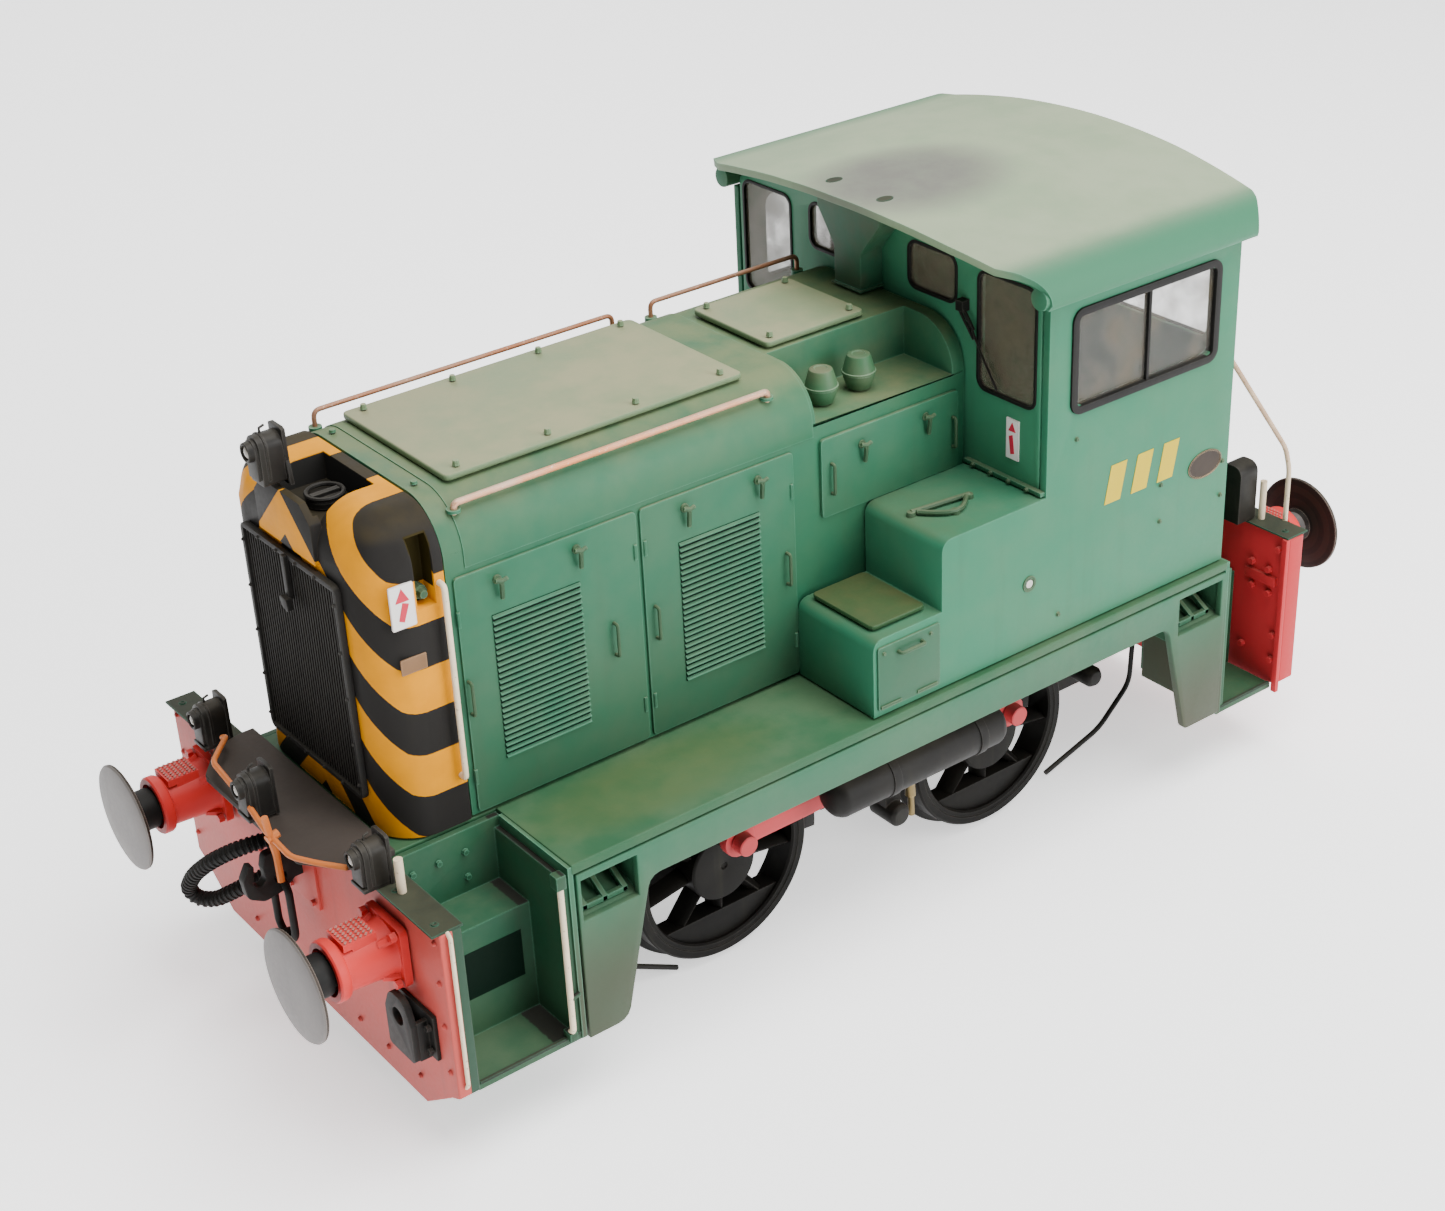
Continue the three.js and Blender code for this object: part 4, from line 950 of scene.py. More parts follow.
def makeGrille(look):
    (x0, x1), half, (z0, z1), rim, count = (look[k] for k in ("x", "half", "z", "rim", "slats"))
    outer = roundedOutline(rectangle(-half, half, z0, z1), 0.9, 5)
    frameMesh = Shape().prism(outer, "x", x0, x1).mesh("grille_frame")
    frameMesh = carved(frameMesh, Shape().box(x0 - 1, x1 - 0.3, -half + rim, half - rim, z0 + rim, z1 - rim))
    finished("grille_frame", eased(frameMesh, 0.1), "black", replacing=("radiator_grille",))
    pitch = 2 * (half - rim) / count
    front, back, wide = look["slat"]
    slat = rectangle(front, back, -wide * pitch, wide * pitch)[::-1]
    unit = Shape().prism(slat, "z", z0 + rim - 0.1, z1 - rim + 0.1)
    start = (x0 + 0.62, -half + rim + pitch / 2, 0)
    finished("grille_slats", repeated("grille_slats", unit, "black", count, start, (0, pitch, 0)), "grille")
    places = [(y, z) for y in (-half + 0.4, half - 0.4) for z in look["sideBolts"]]
    places += [(y, z) for y in look["endBolts"] for z in (z0 + 0.4, z1 - 0.4)]
    studs("grille_bolts", [(x0 - 0.02, y, z, (-1, 0, 0)) for y, z in places], "black", 0.22, 0.22)
    latch = Shape().box(x0 - 0.45, x0 + 0.1, *look["bar"])
    latch.prism(roundedOutline(look["latch"], 0.3, 3), "x", x0 - 1.0, x0 - 0.3)
    latch.lathe(look["pin"], "x", look["pinAt"], 12)
    finished("grille_latch", latch.bevelled(0.08), "black")


makeGrille(grilleSet)
print("bonnet, cowl and radiator made")

# cab roof: one arched sheet, bowed at both ends, with a rolled eave and lip
roofSet = {"crown": 81.3, "flat": 234, "thick": 0.9, "eave": (26.0, 74.6, 4.0), "lip": (29.65, 74.1),
           "front": [(0, 12.6), (9, 12.9), (18, 13.7), (25.6, 15.0), (28, 16.6), (30.6, 19.2)],
           "rear": [(0, 55.2), (14, 55.0), (25.6, 54.3), (28, 53.2), (30.6, 51.2)],
           "plateX": (15.0, 18.0), "plateY": (4.1, -4.9), "slotX": 16.4}


def along(stops, value):
    value = abs(value)
    for (a, low), (b, high) in zip(stops, stops[1:]):
        if value <= b:
            t = (value - a) / (b - a)
            return low + (high - low) * t
    return stops[-1][1]


def makeRoof(look):
    centreY, centreZ, r = look["eave"]
    half = [(centreY + r * math.cos(math.radians(a)), centreZ + r * math.sin(math.radians(a)))
            for a in range(2, 84, 6)]
    start = half[-1][0]
    arch = [(y, look["crown"] - y * y / look["flat"]) for y in [start * (1 - k / 14) for k in range(1, 15)]]
    line = [look["lip"]] + half + arch
    line = [(-y, z) for y, z in line] + [(y, z) for y, z in line[-2::-1]]
    bm = bmesh.new()
    columns = 6
    outer, inner = [], []
    for i, (y, z) in enumerate(line):
        before, after = line[max(i - 1, 0)], line[min(i + 1, len(line) - 1)]
        ahead = Vector((after[0] - before[0], after[1] - before[1])).normalized()
        under = Vector((y, z)) + Vector((ahead.y, -ahead.x)) * look["thick"]
        x0, x1 = along(look["front"], y), along(look["rear"], y)
        xs = [x0 + (x1 - x0) * k / columns for k in range(columns + 1)]
        outer.append([bm.verts.new((x, y, z)) for x in xs])
        inner.append([bm.verts.new((x, under.x, under.y)) for x in xs])
    last = len(line) - 1
    for i in range(last):
        for k in range(columns):
            bm.faces.new((outer[i][k], outer[i][k + 1], outer[i + 1][k + 1], outer[i + 1][k]))
            bm.faces.new((inner[i][k], inner[i + 1][k], inner[i + 1][k + 1], inner[i][k + 1]))
        for k in (0, columns):
            bm.faces.new((outer[i][k], outer[i + 1][k], inner[i + 1][k], inner[i][k]))
    for i in (0, last):
        for k in range(columns):
            bm.faces.new((outer[i][k], outer[i][k + 1], inner[i][k + 1], inner[i][k]))
    shape = Shape()
    shape.bm.free()
    shape.bm = bm
    bmesh.ops.recalc_face_normals(bm, faces=bm.faces[:])
    finished("cab_roof_sheet", eased(shape.mesh("cab_roof_sheet"), 0.2, 50), "roof", slot="top_olive",
             replacing=("cab_roof",))
    for i, y in enumerate(look["plateY"]):
        outline = roundedOutline(rectangle(*look["plateX"], y - 1.0, y + 1.0), 0.2, 2)
        plate = Shape().prism(outline, "z", 81.0, 81.42)
        plate.turned(Matrix.Translation((0, 0, -0.16 - y * y / look["flat"])))
        finished(f"roof_plate_{i + 1}", plate.bevelled(0.05), "roof", slot="top_olive")
        slot = Shape().disc(81.2, 81.34, 0.95, "z", (0, 0), 28)
        slot.turned(Matrix.Translation((look["slotX"], y, -y * y / look["flat"]))
                    @ Matrix.Diagonal((1.2, 0.8, 1, 1)))
        finished(f"roof_slot_{i + 1}", slot, "tread")


makeRoof(roofSet)

# air filters: a bowl, a ring and a tapering cap
filterSet = {"spots": [(1.6, -10.8), (7.4, -10.5)], "base": 62.5,
             "profile": [(0, 0), (0, 1.35), (0.15, 1.45), (1.35, 1.85), (1.75, 1.9), (1.8, 1.98),
                         (2.05, 1.98), (2.1, 1.88), (3.75, 1.42), (3.95, 1.32), (4.05, 1.15), (4.07, 0.8),
                         (3.98, 0.7), (3.98, 0)]}


def makeFilters(look):
    z = look["base"]
    for i, spot in enumerate(look["spots"]):
        shape = Shape().lathe([(z + h, r) for h, r in look["profile"]], "z", spot, 36)
        finished(f"air_filter_bowl_{i + 1}", shape, "filter", slot="top_olive",
                 replacing=(f"air_filter_{i + 1}",), angle=30)


makeFilters(filterSet)

# hatch bolts and the screws of the bonnet's front strip
boltSet = {"hatchZ": 69.36, "frontX": (-45.2, -34, -22.7, -11.4), "frontY": (-9.4, 9.4),
           "rearX": (-0.9, 10.8), "rearY": (-4.9, 6.9), "screws": [(-49.7, -8.4, 68.4), (-49.7, 8.4, 68.4)]}
hatchSpots = [(x, y, boltSet["hatchZ"], (0, 0, 1)) for end in ("front", "rear")
              for x in boltSet[end + "X"] for y in boltSet[end + "Y"]]
studs("hatch_bolts", hatchSpots, "hatch", 0.42, 0.55, 8, 0.75, slot="top_olive")
coverSpots = [(*place, (0, 0, 1)) for place in boltSet["screws"]]
studs("cover_screws", coverSpots, "bonnet", 0.4, 0.3, 10, 0.8, slot="body_green")
print("roof, filters and hatches made")


# doors on the bonnet sides: raised sheets, louvres, latches, handles and hinges
doorSet = {
    "side": -14.9,
    "doors": [(-50.2, -27.6, 32.0, 60.2, 0.32), (-27.1, -6.2, 32.0, 60.2, 0.32),
              (-2.3, 18.3, 50.6, 60.3, 0.45)],
    "louvres": [(-46.2, -35.3), (-22.3, -11.3)], "louvreZ": (37.1, 54.7), "slats": 25,
    "latches": [(-45.2, 59.4), (-35.4, 59.4), (-21.3, 59.4), (-11.3, 59.4), (3.6, 59.0), (13.2, 59.4)],
    "handles": [(-49.8, 44.2, 48.1), (-31.4, 44.2, 48.1), (-25.9, 44.2, 48.1), (-7.6, 44.2, 48.1),
                (-0.9, 53.4, 57.1), (17.4, 53.4, 57.1)],
    "hinges": (-50.1, -28.0, -26.7, -6.6), "hingeZ": (36.5, 55.5),
}


def makeDoors(look):
    side = look["side"]
    for i, (x0, x1, z0, z1, proud) in enumerate(look["doors"]):
        outline = roundedOutline(rectangle(x0, x1, z0, z1), 0.5, 3)
        shape = Shape().prism(outline, "y", side - proud, side + 0.2)
        finished(f"side_doors_{i + 1}", shape.bevelled(0.08).mirrored(), "body", slot="body_green")
    face = side - look["doors"][0][4]
    z0, z1 = look["louvreZ"]
    pitch = (z1 - z0) / look["slats"]
    backing = Shape()
    for x0, x1 in look["louvres"]:
        backing.box(x0, x1, face - 0.06, face + 0.2, z0 + 0.1, z1 - 0.1)
    finished("louvre_shadow", backing.mirrored(), "shade", slot="body_green")
    wedge = [(-0.02, 0.30 * pitch), (-0.12, 0.26 * pitch), (-0.34, -0.02 * pitch), (-0.34, -0.14 * pitch),
             (-0.26, -0.16 * pitch), (-0.02, 0.02 * pitch)]
    flipped = [(-u, v) for u, v in wedge][::-1]
    for i, (x0, x1) in enumerate(look["louvres"]):
        for sideName, profile, y in (("near", wedge, face), ("far", flipped, -face)):
            unit = Shape().prism(profile, "x", x0, x1)
            mesh = repeated("louvres", unit, "louvre", look["slats"], (0, y, z0 + pitch / 2), (0, 0, pitch))
            finished(f"louvres_{sideName}_{i + 1}", mesh, "louvre", slot="body_green")
    latches, handles, hinges = Shape(), Shape(), Shape()
    for x, top in look["latches"]:
        latches.lathe([(face - 0.25, 0), (face - 0.25, 0.5), (face + 0.1, 0.55), (face + 0.1, 0)], "y",
                      (x, top - 0.9), 12)
        latches.tube([(x, face, top - 0.9), (x, face - 1.1, top - 0.9)], 0.24, 8)
        latches.tube([(x - 0.75, face - 0.95, top - 0.5), (x, face - 1.05, top - 0.75),
                      (x + 0.7, face - 0.95, top - 0.6)], 0.24, 8)
        latches.tube([(x, face - 1.0, top - 0.6), (x + 0.1, face - 0.75, top - 1.9),
                      (x + 0.2, face - 0.5, top - 3.0)], 0.26, 8)
    for x, low, high in look["handles"]:
        handles.tube([(x, face + 0.1, low), (x, face - 0.75, low), (x, face - 0.75, high),
                      (x, face + 0.1, high)], 0.2, 8, corner=0.35)
    for x in look["hinges"]:
        for z in look["hingeZ"]:
            hinges.tube([(x, face - 0.02, z - 0.9), (x, face - 0.02, z + 0.9)], 0.22, 8)
    finished("door_latches", latches.mirrored(), "latch", slot="body_green")
    finished("door_handles", handles.mirrored(), "latch", slot="body_green")
    finished("door_hinges", hinges.mirrored(), "body", slot="body_green")


makeDoors(doorSet)
print("doors made")


# handrails: name, finish, radius, points, and whether the far side has one too
railSet = [
    ("rail_bonnet_near", "copper", 0.36, [(-48.3, -13.4, 66.4), (-48.3, -13.6, 67.6), (-8.2, -13.6, 67.6),
                                         (-8.2, -13.4, 66.4)], False),
    ("rail_bonnet_far", "copperDark", 0.28, [(-49.6, 12.6, 67.4), (-49.6, 12.6, 69.4), (-10.4, 12.6, 69.4),
                                            (-10.4, 12.6, 67.4)], False),
    ("rail_bonnet_far_rear", "copperDark", 0.28, [(-4.9, 12.6, 67.4), (-4.9, 12.6, 69.4), (17.2, 12.6, 69.4),
                                                 (17.2, 12.6, 67.4)], False),
    ("rail_cowl_side", "cream", 0.33, [(-51.9, -15.1, 60.6), (-51.9, -16.3, 60.6), (-51.9, -16.3, 37.6),
                                     (-51.9, -15.1, 37.6)], True),
    ("rail_leg_front", "cream", 0.36, [(-49.7, -28.9, 30.0), (-49.7, -29.5, 29.6), (-49.7, -29.5, 11.0),
                                     (-49.7, -28.8, 10.4)], True),
    ("rail_beam_front", "cream", 0.24, [(-63.4, -29.8, 31.0), (-63.4, -30.4, 30.6), (-63.4, -30.4, 11.6),
                                      (-63.4, -29.8, 11.0)], True),
    ("rail_cab_rear", "cream", 0.32, [(50.8, -26.0, 58.0), (52.2, -26.2, 58.0), (64.2, -26.2, 41.8),
                                     (65.2, -26.2, 38.6), (65.3, -26.1, 30.6)], True),
    ("stub_front", "cream", 0.5, [(-63.4, -21.2, 31.0), (-63.4, -21.2, 35.3)], False),
    ("stub_rear", "cream", 0.45, [(63.4, -23.8, 31.0), (63.4, -23.8, 36.6)], True),
]
for name, look, radius, points, both in railSet:
    rail = Shape().tube(points, radius, 12, corner=1.1)
    if both:
        rail.mirrored()
    finished(name, rail, look)


# feet of the bonnet rails, and clips that hold the rails on the legs
railFeetSet = {
    "near": [(-48.3, -13.4), (-8.2, -13.4)], "nearZ": (66.6, 66.95),
    "far": [(-49.6, 12.6), (-10.4, 12.6), (-4.9, 12.6), (17.2, 12.6)], "farZ": (66.9, 67.6), "radius": 0.75,
    "clips": [(-50.3, -49.1, -29.9, -28.6, 29.6, 31.3), (-50.2, -49.2, -29.6, -28.2, 9.6, 10.7)],
    "pin": [(-49.7, -29.6, 15.3), (-48.4, -29.3, 15.3)],
}


def makeRailFeet(look):
    feet, clips = Shape(), Shape()
    for side in ("near", "far"):
        for spot in look[side]:
            feet.disc(*look[side + "Z"], look["radius"], "z", spot, 14)
    finished("rail_feet", feet, "body", slot="body_green")
    clips.boxes(look["clips"]).tube(look["pin"], 0.3, 8)
    finished("rail_clips", clips.bevelled(0.1).mirrored(), "steps", slot="body_green")


makeRailFeet(railFeetSet)


# orange pipe lying along the platform edge, with a branch and a clip at its middle
pipeSet = {"radius": 0.33, "route": [(-65.6, 13.6, 34.2), (-65.6, 12.5, 34.8), (-67.2, 11.0, 34.6),
                                     (-69.0, 9.0, 34.6), (-70.0, -0.8, 34.8), (-70.3, -5.4, 33.6),
                                     (-70.5, -11.2, 33.5), (-68.8, -14.0, 33.4), (-66.8, -16.4, 33.2)],
           "branch": [(-70.9, -7.0, 36.4), (-70.6, -7.0, 34.0), (-70.2, -7.0, 31.4), (-70.4, -7.6, 28.4)],
           "clip": [(-71.0, -7.0, 33.6), (-69.6, -6.9, 33.9)]}
edgePipe = Shape().tube(pipeSet["route"], pipeSet["radius"], 10, corner=0.9)
edgePipe.tube(pipeSet["branch"], 0.42, 8, corner=0.5).tube(pipeSet["clip"], 0.5, 8)
finished("edge_pipe", edgePipe, "orange")
print("rails made")

# cab: window rubbers, divider, wiper, foot strip and rivets
cabSet = {"side": 28.4, "front": 19.9, "rear": 50.7, "rubber": 0.42, "sideRubber": 0.95,
          "sideWindow": (23.3, 47.4, 59.6, 72.5, 1.6), "divider": 35.7,
          "frontWindows": [(-21.6, 9.2, 60.8, 75.0), (-9.1, 8.0, 69.9, 75.4), (9.1, 8.0, 69.9, 75.4),
                           (21.6, 9.2, 60.8, 75.0)],
          "rearWindows": [(-15.6, 18.0, 60.5, 74.0), (15.6, 18.0, 60.5, 74.0)],
          "wiperBox": (18.8, 20.0, -15.4, -14.2, 69.7, 71.0),
          "wiperArms": [([(19.2, -14.8, 70.3), (19.1, -15.9, 69.2), (19.1, -16.9, 67.9)], 0.24),
                        ([(19.2, -14.2, 70.0), (19.15, -15.4, 68.6), (19.1, -17.0, 66.8)], 0.18)],
          "wiperBlade": [(19.1, -16.4, 68.4), (19.15, -18.2, 65.4), (19.3, -20.7, 61.6)],
          "footStrip": (19.2, 19.95, -28.2, -15.3, 50.75, 51.25),
          "stripRivets": [(19.15, y, 51.0) for y in (-17, -20, -23, -26)],
          "sideRivets": [(38.9, 45.9), (39.0, 41.0), (49.6, 45.6), (49.6, 41.0), (24.5, 56.5), (22.3, 34.5)]}


def ring(shape, u0, u1, v0, v1, radius, width, axis, low, high):
    outer = roundedOutline(rectangle(u0, u1, v0, v1), radius, 6)
    hole = rectangle(u0 + width, u1 - width, v0 + width, v1 - width)
    inner = roundedOutline(hole, max(radius - width, 0.2), 6)
    loops = [[shape.bm.verts.new(onAxis(axis, u, v, h)) for u, v in line] for line, h in
             ((outer, low), (outer, high), (inner, high), (inner, low))]
    count = len(outer)
    for a, b in zip(loops, loops[1:] + loops[:1]):
        for i in range(count):
            j = (i + 1) % count
            shape.bm.faces.new((a[i], a[j], b[j], b[i]))
    return shape


def makeCabTrim(look):
    side, middle = look["side"], look["divider"]
    x0, x1, z0, z1, r = look["sideWindow"]
    shape = ring(Shape(), x0, x1, z0, z1, r, look["sideRubber"], "y", -side - 0.3, -side + 0.9)
    shape.box(middle - 0.22, middle + 0.22, -side - 0.1, -side + 0.8, z0 + 0.5, z1 - 0.5)
    finished("side_window_rubber", shape.bevelled(0.1).mirrored(), "rubber")
    for end, outward, inward in (("front", -0.14, 0.5), ("rear", 0.14, -0.5)):
        shape = Shape()
        edges = sorted((look[end] + outward, look[end] + inward))
        for y, wide, low, high in look[end + "Windows"]:
            reach = wide / 2 + 0.3
            ring(shape, y - reach, y + reach, low - 0.3, high + 0.3, 1.5, look["rubber"], "x", *edges)
        finished(end + "_window_rubber", shape.bevelled(0.08), "rubber")
    wiper = Shape().box(*look["wiperBox"])
    for points, radius in look["wiperArms"]:
        wiper.tube(points, radius, 8, corner=0.5)
    finished("wiper", wiper.tube(look["wiperBlade"], 0.3, 8, flat=0.5), "black")
    strip = Shape().box(*look["footStrip"])
    finished("cab_foot_strip", strip.bevelled(0.06).mirrored(), "body", slot="body_green")
    spots = [(*place, (-1, 0, 0)) for place in look["stripRivets"]]
    spots += [(x, side * s, z, (0, s, 0)) for s in (-1, 1) for x, z in look["sideRivets"]]
    studs("cab_rivets", spots, "latch", 0.34, 0.3, 10, 0.6, slot="body_green")


makeCabTrim(cabSet)


# dusty panes set close behind the window rubbers
def makePanes(look):
    for end, back, glassName in (("front", 0.2, "frontGlass"), ("rear", -0.45, "sideGlass")):
        shape = Shape()
        x = look[end] + back
        for y, wide, low, high in look[end + "Windows"]:
            pane = roundedOutline(rectangle(y - wide / 2, y + wide / 2, low, high), 1.2, 5)
            shape.prism(pane, "x", x, x + 0.25)
        finished("panes_" + end, shape, glassName, slot="window_glass", replacing=("glazing_" + end,))
    x0, x1, z0, z1, r = look["sideWindow"]
    pane = roundedOutline(rectangle(x0 + 0.5, x1 - 0.5, z0 + 0.5, z1 - 0.5), r, 5)
    for sideName, sy in sides:
        edges = sorted((sy * (look["side"] - 0.55), sy * (look["side"] - 0.3)))
        finished("panes_" + sideName, Shape().prism(pane, "y", *edges), "sideGlass", slot="window_glass",
                 replacing=("glazing_" + sideName,))


makePanes(cabSet)


# locker fittings: curved handle, lock, small door and its screws
lockerSet = {"side": -28.4, "top": 50.5, "bar": (5.7, -21.3, 13.6, -22.3), "bow": (6.3, 6.7, -21.7, 2.3, 0.8),
             "feet": [(5.7, -21.3), (13.6, -22.3), (9.8, -24.2)], "lock": (17.5, 40.3),
             "door": (-5.7, 3.5, 32.5, 40.6), "grip": (-2.8, 0.7, 39.3), "hinges": [(-5.4, -2.4), (0.0, 3.0)],
             "screws": [(-4.9, 39.8), (2.0, 39.8)]}


def makeLockerFittings(look):
    side, z = look["side"], look["top"]
    x0, y0, x1, y1 = look["bar"]
    handle = Shape().tube([(x0, y0, z + 0.45), (x1, y1, z + 0.45)], 0.34, 8)
    start, length, y, swell, drift = look["bow"]
    steps = (0, 0.1, 0.22, 0.36, 0.5, 0.64, 0.78, 0.9, 1)
    bow = [(start + length * t, y - swell * math.sin(math.pi * t) - drift * t, z + 0.45) for t in steps]
    handle.tube(bow, 0.32, 8)
    for foot in look["feet"]:
        handle.lathe([(z - 0.1, 0), (z - 0.1, 0.6), (z + 0.55, 0.5), (z + 0.62, 0)], "z", foot, 12)
    finished("locker_handles", handle.mirrored(), "latch", slot="body_green")
    rim = Shape().lathe([(side + 0.1, 0), (side + 0.1, 1.05), (side - 0.15, 1.0), (side - 0.15, 0.7),
                         (side - 0.02, 0.62), (side - 0.02, 0)], "y", look["lock"], 24)
    finished("locker_lock_rims", rim.mirrored(), "latch", slot="body_green", angle=25)
    lock = Shape().lathe([(side + 0.1, 0), (side + 0.1, 0.55), (side - 0.1, 0.5), (side - 0.12, 0)], "y",
                         look["lock"], 20)
    finished("locker_locks", lock.mirrored(), "silver", angle=25)
    door = Shape().prism(roundedOutline(rectangle(*look["door"]), 0.3, 3), "y", side - 0.28, side + 0.2)
    finished("locker_doors", door.bevelled(0.08).mirrored(), "body", slot="body_green")
    x0, x1, z = look["grip"]
    grip = Shape().tube([(x0, side - 0.2, z), (x0, side - 0.95, z), (x1, side - 0.95, z),
                         (x1, side - 0.2, z)], 0.24, 8, corner=0.35)
    low = look["door"][2]
    for x0, x1 in look["hinges"]:
        grip.box(x0, x1, side - 0.42, side, low + 0.2, low + 0.6)
    finished("locker_grips", grip.mirrored(), "latch", slot="body_green")
    spots = [(x, (side - 0.3) * -s, z, (0, s, 0)) for s in (-1, 1) for x, z in look["screws"]]
    studs("locker_screws", spots, "latch", 0.26, 0.24, 8, 0.7, slot="body_green")


makeLockerFittings(lockerSet)


# generic marks, with no lettering: slanted bars on the cab, plain plates and warning panels
markSet = {
    "side": -28.4, "bars": (29.4, 33.8, 38.2), "barZ": (46.4, 51.2), "barWide": 2.6, "barLean": 1.0,
    "oval": (46.5, 0, 46.2), "ovalHalf": (2.9, 1, 1.8, 1),
    "cowlLabel": (-57.7, -54.9, 57.0, 61.9), "cabLabel": (19.7, 19.95, -23.9, -21.9, 53.6, 58.6),
    "cowlSigns": [[(-57.1, 60.0), (-55.5, 60.0), (-56.3, 61.5)],
                  [(-56.9, 58.0), (-56.3, 57.7), (-55.6, 59.6), (-56.3, 59.9)]],
    "cabSigns": [[(-23.5, 57.1), (-22.3, 57.1), (-22.9, 58.2)],
                 [(-23.3, 54.4), (-22.7, 54.2), (-22.4, 56.4), (-23.0, 56.7)]],
    "plate": (-57.3, -54.3, 51.7, 53.5),
}


def makeMarks(look):
    side = look["side"]
    bars, signs = Shape(), Shape()
    (low, high), wide, lean = look["barZ"], look["barWide"], look["barLean"]
    for x in look["bars"]:
        bars.prism([(x, low), (x + wide, low), (x + wide + lean, high), (x + lean, high)], "y", side - 0.06,
                   side + 0.05)
    finished("cab_marks", bars.mirrored(), "mark", slot="body_green")
    plate = Shape().lathe([(side + 0.1, 0), (side + 0.1, 1.0), (side - 0.12, 1.0), (side - 0.16, 0.93),
                           (side - 0.08, 0.88), (side - 0.08, 0)], "y", (0, 0), 40)
    plate.turned(Matrix.Translation(look["oval"]) @ Matrix.Diagonal(look["ovalHalf"]))
    finished("cab_oval_plates", plate.mirrored(), "oval", slot="body_green", angle=25)
    labels = Shape().prism(roundedOutline(rectangle(*look["cowlLabel"]), 0.15, 2), "y", -15.42, -15.2)
    finished("warning_panels", labels.box(*look["cabLabel"]).mirrored(), "label")
    for outline in look["cowlSigns"]:
        signs.prism(outline, "y", -15.47, -15.3)
    for outline in look["cabSigns"]:
        signs.prism(outline, "x", 19.64, 19.8)
    finished("warning_signs", signs.mirrored(), "redMark")
    small = Shape().prism(roundedOutline(rectangle(*look["plate"]), 0.1, 2), "y", -15.4, -15.2)
    finished("cowl_plates", small.bevelled(0.04).mirrored(), "plateBrown")


makeMarks(markSet)
print("cab fitted out")


# filler cap with a ring handle, exhaust duct flaring under the roof, and the rolled eaves
topSet = {
    "cap": [(65.2, 0), (65.2, 2.1), (65.75, 2.05), (65.9, 1.85), (65.9, 0)], "capAt": (-55.5, 0.2),
    "capBar": (-57.1, -53.9, -0.15, 0.55, 65.8, 66.35), "capRing": 1.95,
    "duct": [(-0.5, 68.6), (4.3, 68.6), (4.3, 73.2, 0.8), (7.3, 77.4, 0.6), (7.3, 80.2), (-3.9, 80.2),
             (-3.9, 77.4, 0.6), (-0.5, 73.2, 0.8)],
    "ductX": (16.3, 19.7), "ductFoot": (16.0, 19.7, -0.8, 4.6, 68.5, 68.8),
    "eaves": [(18.0, -28.4, 75.2), (51.8, -28.4, 75.2)], "eavesRadius": 1.3,
    "bolt": [(-14.9, 0), (-14.9, 0.45), (-14.2, 0.55), (-14.2, 0.8), (-13.0, 0.8), (-13.0, 0)],
    "boltAt": (-53.5, 59.6),
}


def makeCapDuctEaves(look):
    cap = Shape().lathe(look["cap"], "z", look["capAt"], 36).box(*look["capBar"])
    (x, y), reach = look["capAt"], look["capRing"]
    turns = [math.radians(a) for a in range(0, 376, 15)]
    cap.tube([(x + reach * math.cos(a), y + reach * math.sin(a), 66.25) for a in turns], 0.26, 8)
    finished("filler_ring_cap", cap, "black", replacing=("filler_cap",))
    duct = Shape().prism(roundedOutline(look["duct"], 0, 4), "x", *look["ductX"]).box(*look["ductFoot"])
    finished("exhaust_trunk", duct.bevelled(0.3, 3), "duct", slot="body_green", replacing=("exhaust_duct",))
    eaves = Shape().tube(look["eaves"], look["eavesRadius"], 18)
    finished("rolled_eaves", eaves.bevelled(0.25).mirrored(), "roof", slot="top_olive")
    bolt = Shape().lathe(look["bolt"], "y", look["boltAt"], 8)
    finished("notch_bolts", bolt.mirrored(), "latch", slot="body_green")


makeCapDuctEaves(topSet)


# lamps, placed by x, y, z and foot height: rounded body, lens in its rim, back plate and wire clip
lampSet = {"front_near": (-66.6, -17.9, 31.3, 31.3), "front_far": (-66.6, 17.9, 31.3, 31.3),
           "front_centre": (-70.4, -0.6, 32.8, 32.8), "nose": (-62.4, 1.5, 68.9, 68.5)}


lampShape = {"half": 1.4, "height": 5.3, "depth": 3.0, "lensUp": 3.7,
             "rim": [(-0.6, 0.78), (-0.66, 0.92), (-0.6, 1.06), (0.1, 1.15), (0.1, 0.78)],
             "lens": [(-0.62, 0), (-0.58, 0.3), (-0.46, 0.6), (-0.3, 0.8), (0.1, 0.8), (0.1, 0)]}


